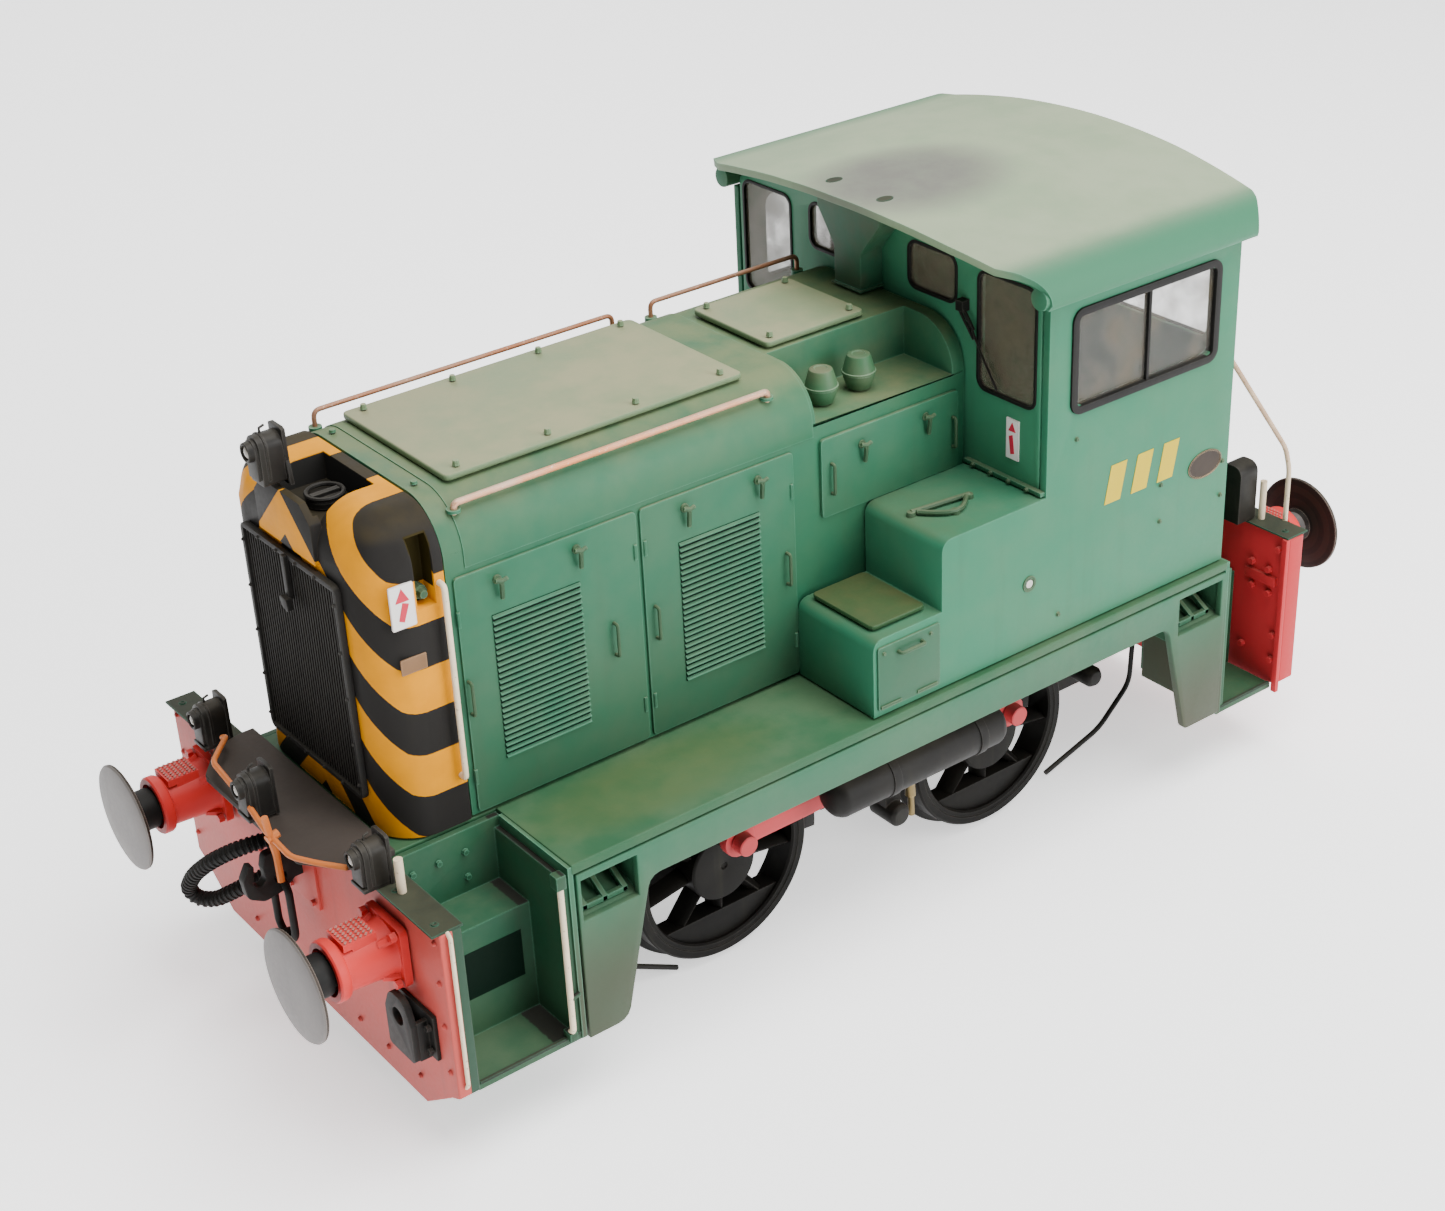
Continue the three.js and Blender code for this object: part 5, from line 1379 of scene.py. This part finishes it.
def makeLamp(name, x, y, z, foot, look):
    half, height, depth = look["half"], look["height"], look["depth"]
    back = x + depth
    top = z + height

    def layer(grow, low, high, bottomRound, topRound, x0, x1):
        left, right = y - half - grow, y + half + grow
        outline = [(left, low, bottomRound), (right, low, bottomRound), (right, high, topRound),
                   (left, high, topRound)]
        shape.prism(roundedOutline(outline, 0, 8), "x", x0, x1)

    shape = Shape()
    layer(0, z, top, 0.25, 1.35, x + 0.35, back)
    layer(-0.3, z + 0.6, top - 0.35, 0.2, 1.05, x, x + 0.5)
    layer(0.12, z + 0.5, top + 0.1, 0.2, 1.4, x + 1.0, x + 1.25)
    wide = half + 0.15
    shape.prism([(y - wide, foot), (y + wide, foot), (y + wide - 0.1, top + 0.3), (y + wide - 0.5, top + 0.5),
                 (y - wide + 0.5, top + 0.5), (y - wide + 0.1, top + 0.3)], "x", back, back + 0.45)
    if name == "nose":
        shape.prism([(y - 0.4 - wide, foot), (y + wide, foot), (y + wide, foot + 1), (y - wide, foot + 2.6)],
                    "x", back, back + 0.45)
    else:
        shape.box(x - 0.1, back, y - half, y + half, z, z + 0.4)
    shape.tube([(x + 1.4, y + 0.2, top), (x + 1.4, y + 0.2, top + 0.5), (x + 2.0, y + 0.2, top + 0.7)],
               0.16, 6)
    finished("lamp_body_" + name, shape.bevelled(0.09), "lamp", replacing=("lamp_" + name,))
    centre = (y, z + look["lensUp"])
    rim = Shape().lathe([(x + a, r) for a, r in look["rim"]], "x", centre, 24)
    finished("lamp_rim_" + name, closedRing(rim), "lamp")
    lens = Shape().lathe([(x + a, r) for a, r in look["lens"]], "x", centre, 24)
    finished("lamp_lens_" + name, lens, "lens")


def closedRing(shape):
    rims = [e for e in shape.bm.edges if len(e.link_faces) == 1]
    bmesh.ops.bridge_loops(shape.bm, edges=rims)
    return shape


for name, place in lampSet.items():
    makeLamp(name, *place, lampShape)


# buffers: flanged and bolted housing with a chequered step, sprung head
bufferSet = {
    "y": 20.0, "z": 24.8, "beam": 64.7, "plate": 3.7, "corners": [(-1, -1), (-1, 1), (1, -1), (1, 1)],
    "barrel": [(65.1, 0), (65.1, 3.6), (66.0, 3.1), (71.1, 2.85), (71.3, 3.3), (71.6, 3.45), (72.4, 3.45),
               (72.6, 3.3), (72.6, 2.7), (69.3, 2.65), (69.3, 2.1), (66.0, 2.1), (66.0, 0)],
    "pads": [(67.2, 70.0, 2.3), (70.0, 71.0, 2.7)], "padTop": 3.55, "padHalf": 1.75, "stepX": 69.1,
    "head": [(76.5, 0), (76.48, 3.0), (76.38, 5.6), (76.2, 6.2), (76.0, 6.35), (75.7, 6.3), (75.55, 5.9),
             (75.45, 2.2), (75.0, 1.8), (69.1, 1.7), (68.9, 1.6), (68.9, 0)],
    "sleeve": [(75.44, 0), (75.44, 2.3), (75.2, 2.38), (72.9, 2.38), (72.65, 2.3), (72.65, 0)],
}


def makeBuffer(end, sx, sideName, sy, look):
    y, z, beamX, half = look["y"] * sy, look["z"], look["beam"], look["plate"]
    tag = f"{end}_{sideName}"
    shape = Shape().lathe(towards(sx, look["barrel"]), "x", (y, z), 48)
    low, high = sorted((sx * beamX, sx * (beamX + 0.9)))
    shape.prism(roundedOutline(rectangle(y - half, y + half, z - half, z + half), 0.9, 5), "x", low, high)
    for fy, fz in look["corners"]:
        shape.tube([(sx * (beamX + 0.6), y + fy * 2.6, z + fz * 2.6),
                    (sx * (beamX + 2.6), y + fy * 2.0, z + fz * 2.0)], 0.5, 6)
    for a, b, foot in look["pads"]:
        low, high = sorted((sx * a, sx * b))
        shape.box(low, high, y - look["padHalf"], y + look["padHalf"], z + foot, z + look["padTop"])
    finished("buffer_barrel_" + tag, shape, "buffer", slot="beam_red", replacing=("buffer_housing_" + tag,),
             angle=32)
    spots = [(sx * (beamX + 1.05), y + fy * 3.0, z + fz * 3.0, (sx, 0, 0)) for fy, fz in look["corners"]]
    studs("buffer_bolts_" + tag, spots, "buffer", 0.52, 0.7, 6, 0.95, slot="beam_red")
    unit = Shape().box(-0.22, 0.22, -0.1, 0.1, -0.06, 0.1)
    unit.turned(Matrix.Rotation(math.radians(45), 4, "Z"))
    row = repeated("row", unit, "chequer", 6, (0, 0, 0), (0.6, 0, 0))
    grid = rowOfRows(row, "chequer", 7, (sx * look["stepX"] - 1.5, y - 1.5, z + 3.6), (0, 0.5, 0))
    finished("step_chequer_" + tag, grid, "chequer", slot="beam_red")
    head = Shape().lathe(towards(sx, look["head"]), "x", (y, z), 72)
    finished("buffer_disc_" + tag, head, "head", "buffer_" + tag, "buffer_steel", ("buffer_head_" + tag,),
             angle=30)
    if end == "front":
        sleeve = Shape().lathe(towards(sx, look["sleeve"]), "x", (y, z), 36)
        finished("buffer_sleeve_" + sideName, sleeve, "rubber", "buffer_" + tag)


def rowOfRows(mesh, look, count, start, step):
    values = {"Count": count, "Start": vector(start), "Step": vector(step), "Turn": [0, 0, 0],
              "Material": finishes[look]}
    return rows.grown("rows", mesh, values)


for end, sx in ends:
    for sideName, sy in sides:
        makeBuffer(end, sx, sideName, sy, bufferSet)
print("lamps and buffers made")

# wheels: turned tyre, webbed spokes, hub, balance weight and crank boss, one set on each wheelset
wheelSet = {"x": 21.0, "z": 13.3, "throw": 5.3, "spokes": 9, "near": 90, "far": 180,
            "tyre": [(14.65, 10.4), (14.65, 12.9), (14.8, 13.2), (15.1, 13.3), (15.4, 13.2), (15.7, 12.7),
                     (16.0, 12.42), (18.35, 12.25), (18.6, 12.0), (18.6, 11.2), (18.45, 11.1), (18.45, 10.6),
                     (18.2, 10.4)],
            "spoke": [(15.4, -0.62), (17.2, -0.5), (17.8, 0.0), (17.2, 0.5), (15.4, 0.62)],
            "spokeZ": (3.9, 10.6), "spokeTurn": 110, "flare": 1.35,
            "hub": [(14.65, 0), (14.65, 4.3), (14.8, 4.5), (18.5, 4.5), (18.75, 4.3), (18.75, 0.5),
                    (18.5, 0.35), (18.5, 0)],
            "boss": [(15.2, 0), (15.2, 2.2), (19.4, 2.0), (20.2, 1.8), (20.3, 1.6), (20.3, 0)],
            "pin": [(20.0, 0), (20.0, 0.8), (22.25, 0.8), (22.3, 1.3), (23.7, 1.25), (23.8, 1.1), (23.8, 0)],
            "weight": (10.6, range(-52, 53, 4), (15.3, 17.9))}


def makeWheel(end, sx, sideName, sy, look):
    centre = (sx * look["x"], look["z"])
    body = f"wheelset_{end}"
    tag = f"{end}_{sideName}"
    crank = math.radians(look[sideName])
    tyre = closedRing(Shape().lathe(towards(sy, look["tyre"]), "y", centre, 96))
    finished("tyre_" + tag, tyre, "wheel", body, "wheel_black", (f"wheel_{tag}",), angle=28)
    unit = Shape().prism(look["spoke"], "z", *look["spokeZ"])
    for vert in unit.bm.verts:
        x, y, z = vert.co
        vert.co = (y * (look["flare"] if z < 5 else 1.0), x * sy, z)
    turns = repeated("spokes", unit, "wheel", look["spokes"], (centre[0], 0, centre[1]), turn=(0, 40, 0))
    spin = Matrix.Translation(Vector((centre[0], 0, centre[1])) * mm)
    turn = Matrix.Rotation(math.radians(look["spokeTurn"]) - crank, 4, "Y")
    turns.transform(spin @ turn @ spin.inverted())
    finished("spokes_" + tag, turns, "wheel", body, "wheel_black", angle=40)
    pin = (centre[0] + look["throw"] * math.cos(crank), centre[1] + look["throw"] * math.sin(crank))
    lean = crank - math.pi / 2
    hub = Shape().lathe(towards(sy, look["hub"]), "y", centre, 48)
    hub.lathe(towards(sy, look["boss"]), "y", pin, 28)
    reach, sweep, depth = look["weight"]
    chord = [(reach * math.sin(t), -reach * math.cos(t)) for t in [math.radians(a) for a in sweep]]
    outline = [(centre[0] + u * math.cos(lean) - v * math.sin(lean),
                centre[1] + u * math.sin(lean) + v * math.cos(lean)) for u, v in chord]
    hub.prism(outline, "y", *sorted(sy * y for y in depth))
    finished("hub_" + tag, hub.bevelled(0.12, angle=50), "wheel", body, "wheel_black", angle=30)
    pinShape = Shape().lathe(towards(sy, look["pin"]), "y", pin, 24)
    finished("crank_pin_" + tag, pinShape, "rod", body, "wheel_black", angle=30)


for end, sx in ends:
    for sideName, sy in sides:
        makeWheel(end, sx, sideName, sy, wheelSet)
print("wheels made")


# couplings: a smooth ring in the hook and the longer link below it, and a ribbed vacuum pipe
linkSet = {"x": -67.4, "half": 2.0, "low": 14.9, "high": 24.15, "wire": 0.45, "lower": (10.4, 16.2),
           "lowerHalf": 0.8, "lowerWire": 0.38, "lean": 16}
hoseSet = {"route": [(-64.4, 2.6, 26.6), (-66.5, 2.9, 26.6), (-69.5, 4.3, 26.0), (-72.0, 6.4, 24.4),
                     (-73.4, 9.2, 21.6), (-73.6, 11.2, 18.8), (-72.8, 10.9, 17.1), (-71.4, 9.2, 17.2),
                     (-69.9, 7.4, 18.6), (-68.2, 5.9, 19.9), (-66.4, 5.2, 20.5), (-64.4, 5.0, 20.6)],
           "radius": 0.8, "corner": 1.6, "rib": 0.95, "ribHalf": 0.15, "pitch": 0.64, "ends": (1.15, 1.1)}


def looped(shape, points, across, radius, sides=12):
    path = [Vector(p) for p in points]
    rings = []
    for i, here in enumerate(path):
        ahead = (path[(i + 1) % len(path)] - path[i - 1]).normalized()
        side = ahead.cross(Vector(across)).normalized()
        other = ahead.cross(side)
        rings.append([shape.bm.verts.new(here + side * radius * math.cos(2 * math.pi * k / sides)
                      + other * radius * math.sin(2 * math.pi * k / sides)) for k in range(sides)])
    for a, b in zip(rings, rings[1:] + rings[:1]):
        for k in range(sides):
            j = (k + 1) % sides
            shape.bm.faces.new((a[k], a[j], b[j], b[k]))
    return shape


def stadium(half, low, high):
    turns = [math.radians(a) for a in range(0, 360, 15)]
    return [(half * math.cos(t), (high if t < math.pi - 0.01 else low) + half * math.sin(t)) for t in turns]


def makeLinks(look):
    for end, sx in (("front", 1), ("rear", -1)):
        x, half, wire = look["x"] * sx, look["half"], look["wire"]
        points = [(x, u, v) for u, v in stadium(half, look["low"] + wire + half, look["high"] - wire - half)]
        finished(f"link_ring_{end}", looped(Shape(), points, (1, 0, 0), wire), "black", f"link_{end}",
                 "chassis_black", (f"coupling_link_{end}",))
        (low, high), half = look["lower"], look["lowerHalf"]
        lean = math.sin(math.radians(look["lean"])) * sx
        points = [(x + u - (high - v) * lean, 0, v) for u, v in stadium(half, low + half, high - half)]
        lower = looped(Shape(), points, (0, 1, 0), look["lowerWire"])
        finished(f"lower_link_{end}", lower, "black", f"link_{end}")


def makePipe(look):
    route, pitch = look["route"], look["pitch"]
    hose = Shape().tube(route, look["radius"], 14, corner=look["corner"]).mesh("vacuum_hose")
    path = softened([Vector(p) for p in route], look["corner"])
    spots, walked = [], 0.0
    for a, b in zip(path, path[1:]):
        length = (b - a).length
        while walked < length:
            spots.append((a.lerp(b, walked / length), (b - a).normalized()))
            walked += pitch
        walked -= length
    cuffs = Shape()
    for spot, ahead in spots[2:-2]:
        cuffs.tube([spot + ahead * t for t in (-look["ribHalf"], look["ribHalf"])], look["rib"], 14)
    cuffs.tube([route[0], route[1]], look["ends"][0], 8)
    cuffs.tube([route[-1], route[-2]], look["ends"][1], 8)
    finished("vacuum_hose", merged("vacuum_hose", [hose, cuffs.bevelled(0.1).mesh("cuffs")]), "rubber",
             replacing=("brake_pipe",), angle=50)


makeLinks(linkSet)
makePipe(hoseSet)

# air tank with domed ends and straps, hung under the near side of the frame
tankSet = {"x": (-10.8, 16.0), "y": -25.2, "z": 21.1, "radius": 2.7, "straps": (-2.2, 11.4), "top": 29.9,
           "dome": [(0.0, 0.0), (0.1, 1.0), (0.35, 1.8), (0.8, 2.35), (1.3, 2.62)]}


def makeTank(look):
    (x0, x1), r = look["x"], look["radius"]
    dome = look["dome"] + [(1.6, r)]
    profile = [(x0 + a, b) for a, b in dome] + [(x1 - a, b) for a, b in dome[::-1]]
    centre = (look["y"], look["z"])
    shape = Shape().lathe(profile, "x", centre, 40)
    finished("tank_shell", shape, "black", replacing=("air_tank",), angle=30)
    straps = Shape()
    for x in look["straps"]:
        straps.disc(x - 0.6, x + 0.6, r + 0.16, "x", centre, 40)
        straps.box(x - 0.6, x + 0.6, look["y"] + 1.9, look["y"] + 2.3, look["z"], look["top"])
    finished("tank_straps", straps.bevelled(0.06, angle=60), "black")


makeTank(tankSet)


# underframe: brake blocks and hangers, sand pipes, drain cocks and gear between the wheels
underSet = {
    "shoes": [(21.0, -1), (-21.0, 1)], "wheelZ": 13.3, "shoe": (12.6, 1.7), "shoeY": (-17.8, -15.8),
    "hanger": (13.6, 14.3, -17.2, -16.4, 13.0, 28.5),
    "sandPipes": [[(-44.0, -17.0, 27.0), (-43.4, -17.0, 10.0), (-36.4, -17.0, 5.6), (-27.4, -17.0, 0.8)],
                  [(49.5, -16.0, 27.0), (48.5, -16.0, 9.0), (43.1, -16.0, 4.1), (33.4, -16.0, 1.2)]],
    "rearBoxes": [(33.6, 47.4, -14.6, -13.6, 14.5, 26.0), (36.0, 38.0, -16.4, -13.6, 18.0, 20.4)],
    "rearDisc": ([(-17.8, 0), (-17.8, 1.0), (-17.2, 1.4), (-13.8, 1.4), (-13.8, 0)], (40.4, 13.6)),
    "middleDisc": ([(-20.6, 0), (-20.6, 1.1), (-20.2, 1.5), (-16.2, 1.5), (-16.2, 0)], (4.6, 9.6)),
    "middleBoxes": [(3.4, 5.8, -19.0, -17.0, 9.8, 26.0), (-4.0, 9.0, -15.6, -14.4, 11.8, 13.0)],
    "cock": [(7.0, -19.4, 12.8), (7.0, -19.6, 8.4)],
    "cockCap": ([(11.2, 0), (11.2, 0.7), (12.9, 0.6), (12.9, 0)], (7.0, -19.4)),
}


def makeUnderframe(look):
    blocks, pipes = Shape(), Shape()
    reach, thick = look["shoe"]
    x0, x1, *hanger = look["hanger"]
    sweep = [math.radians(a) for a in range(-5, 36, 5)]
    for x, side in look["shoes"]:
        arc = [(x + side * r * math.cos(a), look["wheelZ"] + r * math.sin(a))
               for r, turns in ((reach, sweep), (reach + thick, sweep[::-1])) for a in turns]
        blocks.prism(arc, "y", *look["shoeY"])
        blocks.box(*sorted((x + side * x0, x + side * x1)), *hanger)
    for route in look["sandPipes"]:
        pipes.tube(route, 0.34, 10, corner=1.6)
    blocks.boxes(look["rearBoxes"])
    for name in ("rearDisc", "middleDisc"):
        blocks.lathe(look[name][0], "y", look[name][1], 20)
    blocks.boxes(look["middleBoxes"])
    profile, place = look["cockCap"]
    cocks = Shape().tube(look["cock"], 0.42, 10).lathe(profile, "z", place, 12)
    finished("drain_cocks", cocks.mirrored(), "brassPipe")
    finished("brake_blocks", blocks.bevelled(0.1).mirrored(), "black")
    finished("sand_pipes", pipes.mirrored(), "black")


makeUnderframe(underSet)
print("couplings and underframe made")


# buffer beams: tread plates on top, rivets and bolts, and a shackle bracket on the front
beamEnds = (("front", -1, "beamFront", "beam_faded_red"), ("rear", 1, "beamRear", "beam_red"))
beamSet = {
    "treadX": (61.5, 65.2), "treadZ": (31.02, 31.24), "treadY": -29.9,
    "treadIn": {"front": -15.8, "rear": -17.0},
    "screw": [(31.1, 0), (31.1, 0.42), (31.38, 0.36), (31.38, 0.2), (31.28, 0.16), (31.28, 0)],
    "screwY": (-28.2, -20.6), "screwIn": 1.4, "face": 64.45,
    "rivets": [(28.9, 29.6), (28.9, 24.5), (28.9, 19.0), (28.9, 13.0), (11.0, 29.6), (11.0, 20.0),
               (7.5, 29.6), (15.2, 7.8), (9.0, 7.8), (3.0, 7.8), (22.0, 8.2)],
    "backX": 61.66,
    "backBolts": [(24.4, 26.0), (27.2, 25.8), (24.6, 22.6), (27.4, 22.4), (28.6, 16.6), (28.6, 13.0),
                  (23.6, 13.4), (28.6, 29.2)],
    "ribs": [(61.2, 61.85, -30.0, -29.2, 8.6, 31.0), (61.3, 61.85, -28.4, -23.4, 23.6, 24.9)],
    "plate": (-3.4, 3.4, 19.2, 29.9), "plateX": (64.3, 64.75), "plateBolts": [(-2.5, 20.2), (-2.5, 28.8),
                                                                              (2.5, 20.2), (2.5, 28.8)],
}


def makeBeamTrim(look):
    treads = Shape()
    for end, sx in ends:
        x0, x1 = sorted(sx * x for x in look["treadX"])
        treads.box(x0, x1, look["treadY"], look["treadIn"][end], *look["treadZ"])
        for y in look["screwY"]:
            treads.lathe(look["screw"], "z", (x0 + look["screwIn"], y), 12)
    finished("beam_treads", treads.mirrored(), "tread")
    places = [(y * s, z) for s in (-1, 1) for y, z in look["rivets"]]
    for end, sx, finish, slot in beamEnds:
        spots = [(sx * look["face"], y, z, (sx, 0, 0)) for y, z in places]
        studs(end + "_beam_rivets", spots, finish, 0.36, 0.3, 10, 0.6, slot=slot)
    inner = [(look["backX"], y * s, z, (-1, 0, 0)) for s in (-1, 1) for y, z in look["backBolts"]]
    studs("rear_beam_bolts", inner, "beamRear", 0.5, 0.55, 8, 0.85, slot="beam_red")
    ribs = Shape().boxes(look["ribs"])
    finished("rear_beam_ribs", ribs.bevelled(0.1).mirrored(), "beamRear", slot="beam_red")
    for end, sx, finish, slot in beamEnds:
        outline = roundedOutline(rectangle(*look["plate"]), 0.5, 3)
        plate = Shape().prism(outline, "x", *sorted(sx * x for x in look["plateX"]))
        finished("draw_plate_" + end, plate.bevelled(0.08), finish, slot=slot)
        bolts = [(sx * (look["plateX"][1] + 0.1), y, z, (sx, 0, 0)) for y, z in look["plateBolts"]]
        studs("draw_bolts_" + end, bolts, finish, 0.4, 0.4, 6, 0.95, slot=slot)


bracketSet = {
    "tab": [(-26.0, 13.4, 0.6), (-20.8, 13.4, 0.6), (-20.8, 18.4, 0.6), (-22.0, 21.0, 1.5),
            (-24.8, 21.0, 1.5), (-26.0, 18.2, 0.6)],
    "tabX": (-66.9, -66.1), "hole": (-23.4, 18.3), "holeRadius": 1.05,
    "back": [(-66.2, -64.4, -26.0, -25.4, 13.5, 18.4), (-66.2, -64.4, -21.4, -20.8, 13.5, 18.6),
             (-66.2, -64.4, -25.8, -21.0, 13.4, 14.0), (-64.9, -64.4, -27.2, -19.8, 13.6, 19.2)],
    "bolts": [(-65.0, y, z, (-1, 0, 0)) for y in (-26.6, -20.3) for z in (14.8, 17.8)],
}


def makeBracket(look):
    tab = Shape().prism(roundedOutline(look["tab"], 0, 5), "x", *look["tabX"])
    hole = Shape().disc(-68, -64, look["holeRadius"], "x", look["hole"], 24)
    mesh = carved(tab.mesh("shackle_bracket"), hole)
    back = Shape().boxes(look["back"]).bevelled(0.1).mesh("back")
    finished("shackle_bracket", merged("shackle_bracket", [eased(mesh, 0.1), back]), "black")
    studs("shackle_bolts", look["bolts"], "black", 0.4, 0.5, 6, 0.95)


makeBeamTrim(beamSet)
makeBracket(bracketSet)


# step wells: bolts on the back wall, treads in the leg openings, lips, near-black plates painted as the shade
# in the toe holes, and a rear lamp
stepSet = {
    "bolts": [(-59.4, 28.6), (-56.2, 28.6), (-52.9, 28.6), (-59.4, 25.4), (-52.9, 25.4), (53.2, 28.6),
              (56.4, 28.6), (59.6, 28.6)], "boltY": -15.98,
    "pockets": [(-46.9, -39.7), (42.8, 50.5)], "pocketZ": (22.9, 30.0), "pocketY": (-28.6, -23.9),
    "floor": [(-28.4, 23.2), (-23.9, 24.9), (-23.9, 25.5), (-28.4, 23.7)],
    "barHalf": 2.9, "barY": (-27.6, -25.0), "crossBar": [(-27.9, 24.2), (-27.3, 24.2), (-24.8, 26.1),
                                                         (-24.8, 26.7), (-27.9, 24.8)],
    "legs": [(-48.35, -47.75), (51.0, 51.65)], "leg": (-29.05, -15.9, 9.0, 31.2),
    "lips": [(-61.2, -48.3), (51.8, 61.2)], "lip": (-28.95, -28.5, 9.55, 9.9),
    "toes": [(-60.4, -50.4), (53.4, 60.4)], "toe": (-21.73, -20.5, 14.4, 20.4),
    "lamp": [(-23.4, 31.4, 0.2), (-20.0, 31.4, 0.2), (-20.0, 39.4, 1.3), (-23.4, 39.4, 1.3)],
    "lampX": (59.4, 62.6), "lampAt": (-21.7, 36.6),
    "lampRim": [(62.4, 0), (62.4, 1.2), (63.3, 1.1), (63.3, 0.8), (63.0, 0.7), (63.0, 0)],
}


def makeStepTrim(look):
    spots = [(x, look["boltY"] * s, z, (0, -s, 0)) for s in (-1, 1) for x, z in look["bolts"]]
    studs("well_bolts", spots, "steps", 0.42, 0.35, 8, 0.8, slot="body_green")
    grate, plates, lips, toes = Shape(), Shape(), Shape(), Shape()
    (low, high), (outer, inner), reach = look["pocketZ"], look["pocketY"], look["barHalf"]
    for x0, x1 in look["pockets"]:
        left, right, middle = x0 - 0.3, x1 + 0.3, (x0 + x1) / 2
        plates.box(left, right, inner - 0.4, inner, low, high).prism(look["floor"], "x", left, right)
        plates.box(left - 0.5, left, outer, inner, low, high).box(right, right + 0.5, outer, inner, low, high)
        for y in look["barY"]:
            rise = (y - look["barY"][0]) * 0.7
            grate.box(middle - reach, middle + reach, y - 0.3, y + 0.3, 24.2 + rise, 24.8 + rise)
        for x in (middle - reach, middle - 0.3, middle + reach - 0.6):
            grate.prism(look["crossBar"], "x", x, x + 0.6)
    for shape, name in ((plates, "leg"), (lips, "lip"), (toes, "toe")):
        for x0, x1 in look[name + "s"]:
            shape.box(x0, x1, *look[name])
    finished("leg_treads", grate.bevelled(0.05).mirrored(), "body", slot="body_green")
    finished("leg_plates", plates.mirrored(), "skirt", slot="body_green")
    finished("step_lips", lips.bevelled(0.08).mirrored(), "tread", slot="body_green")
    # near-black plates over the toe holes: painted shade
    finished("toe_shadows", toes.mirrored(), "shade")
    lamp = Shape().prism(roundedOutline(look["lamp"], 0, 6), "x", *look["lampX"])
    lamp.lathe(look["lampRim"], "x", look["lampAt"], 24)
    finished("rear_lamp", lamp.bevelled(0.1), "lamp")


makeStepTrim(stepSet)
print("beams and steps trimmed")
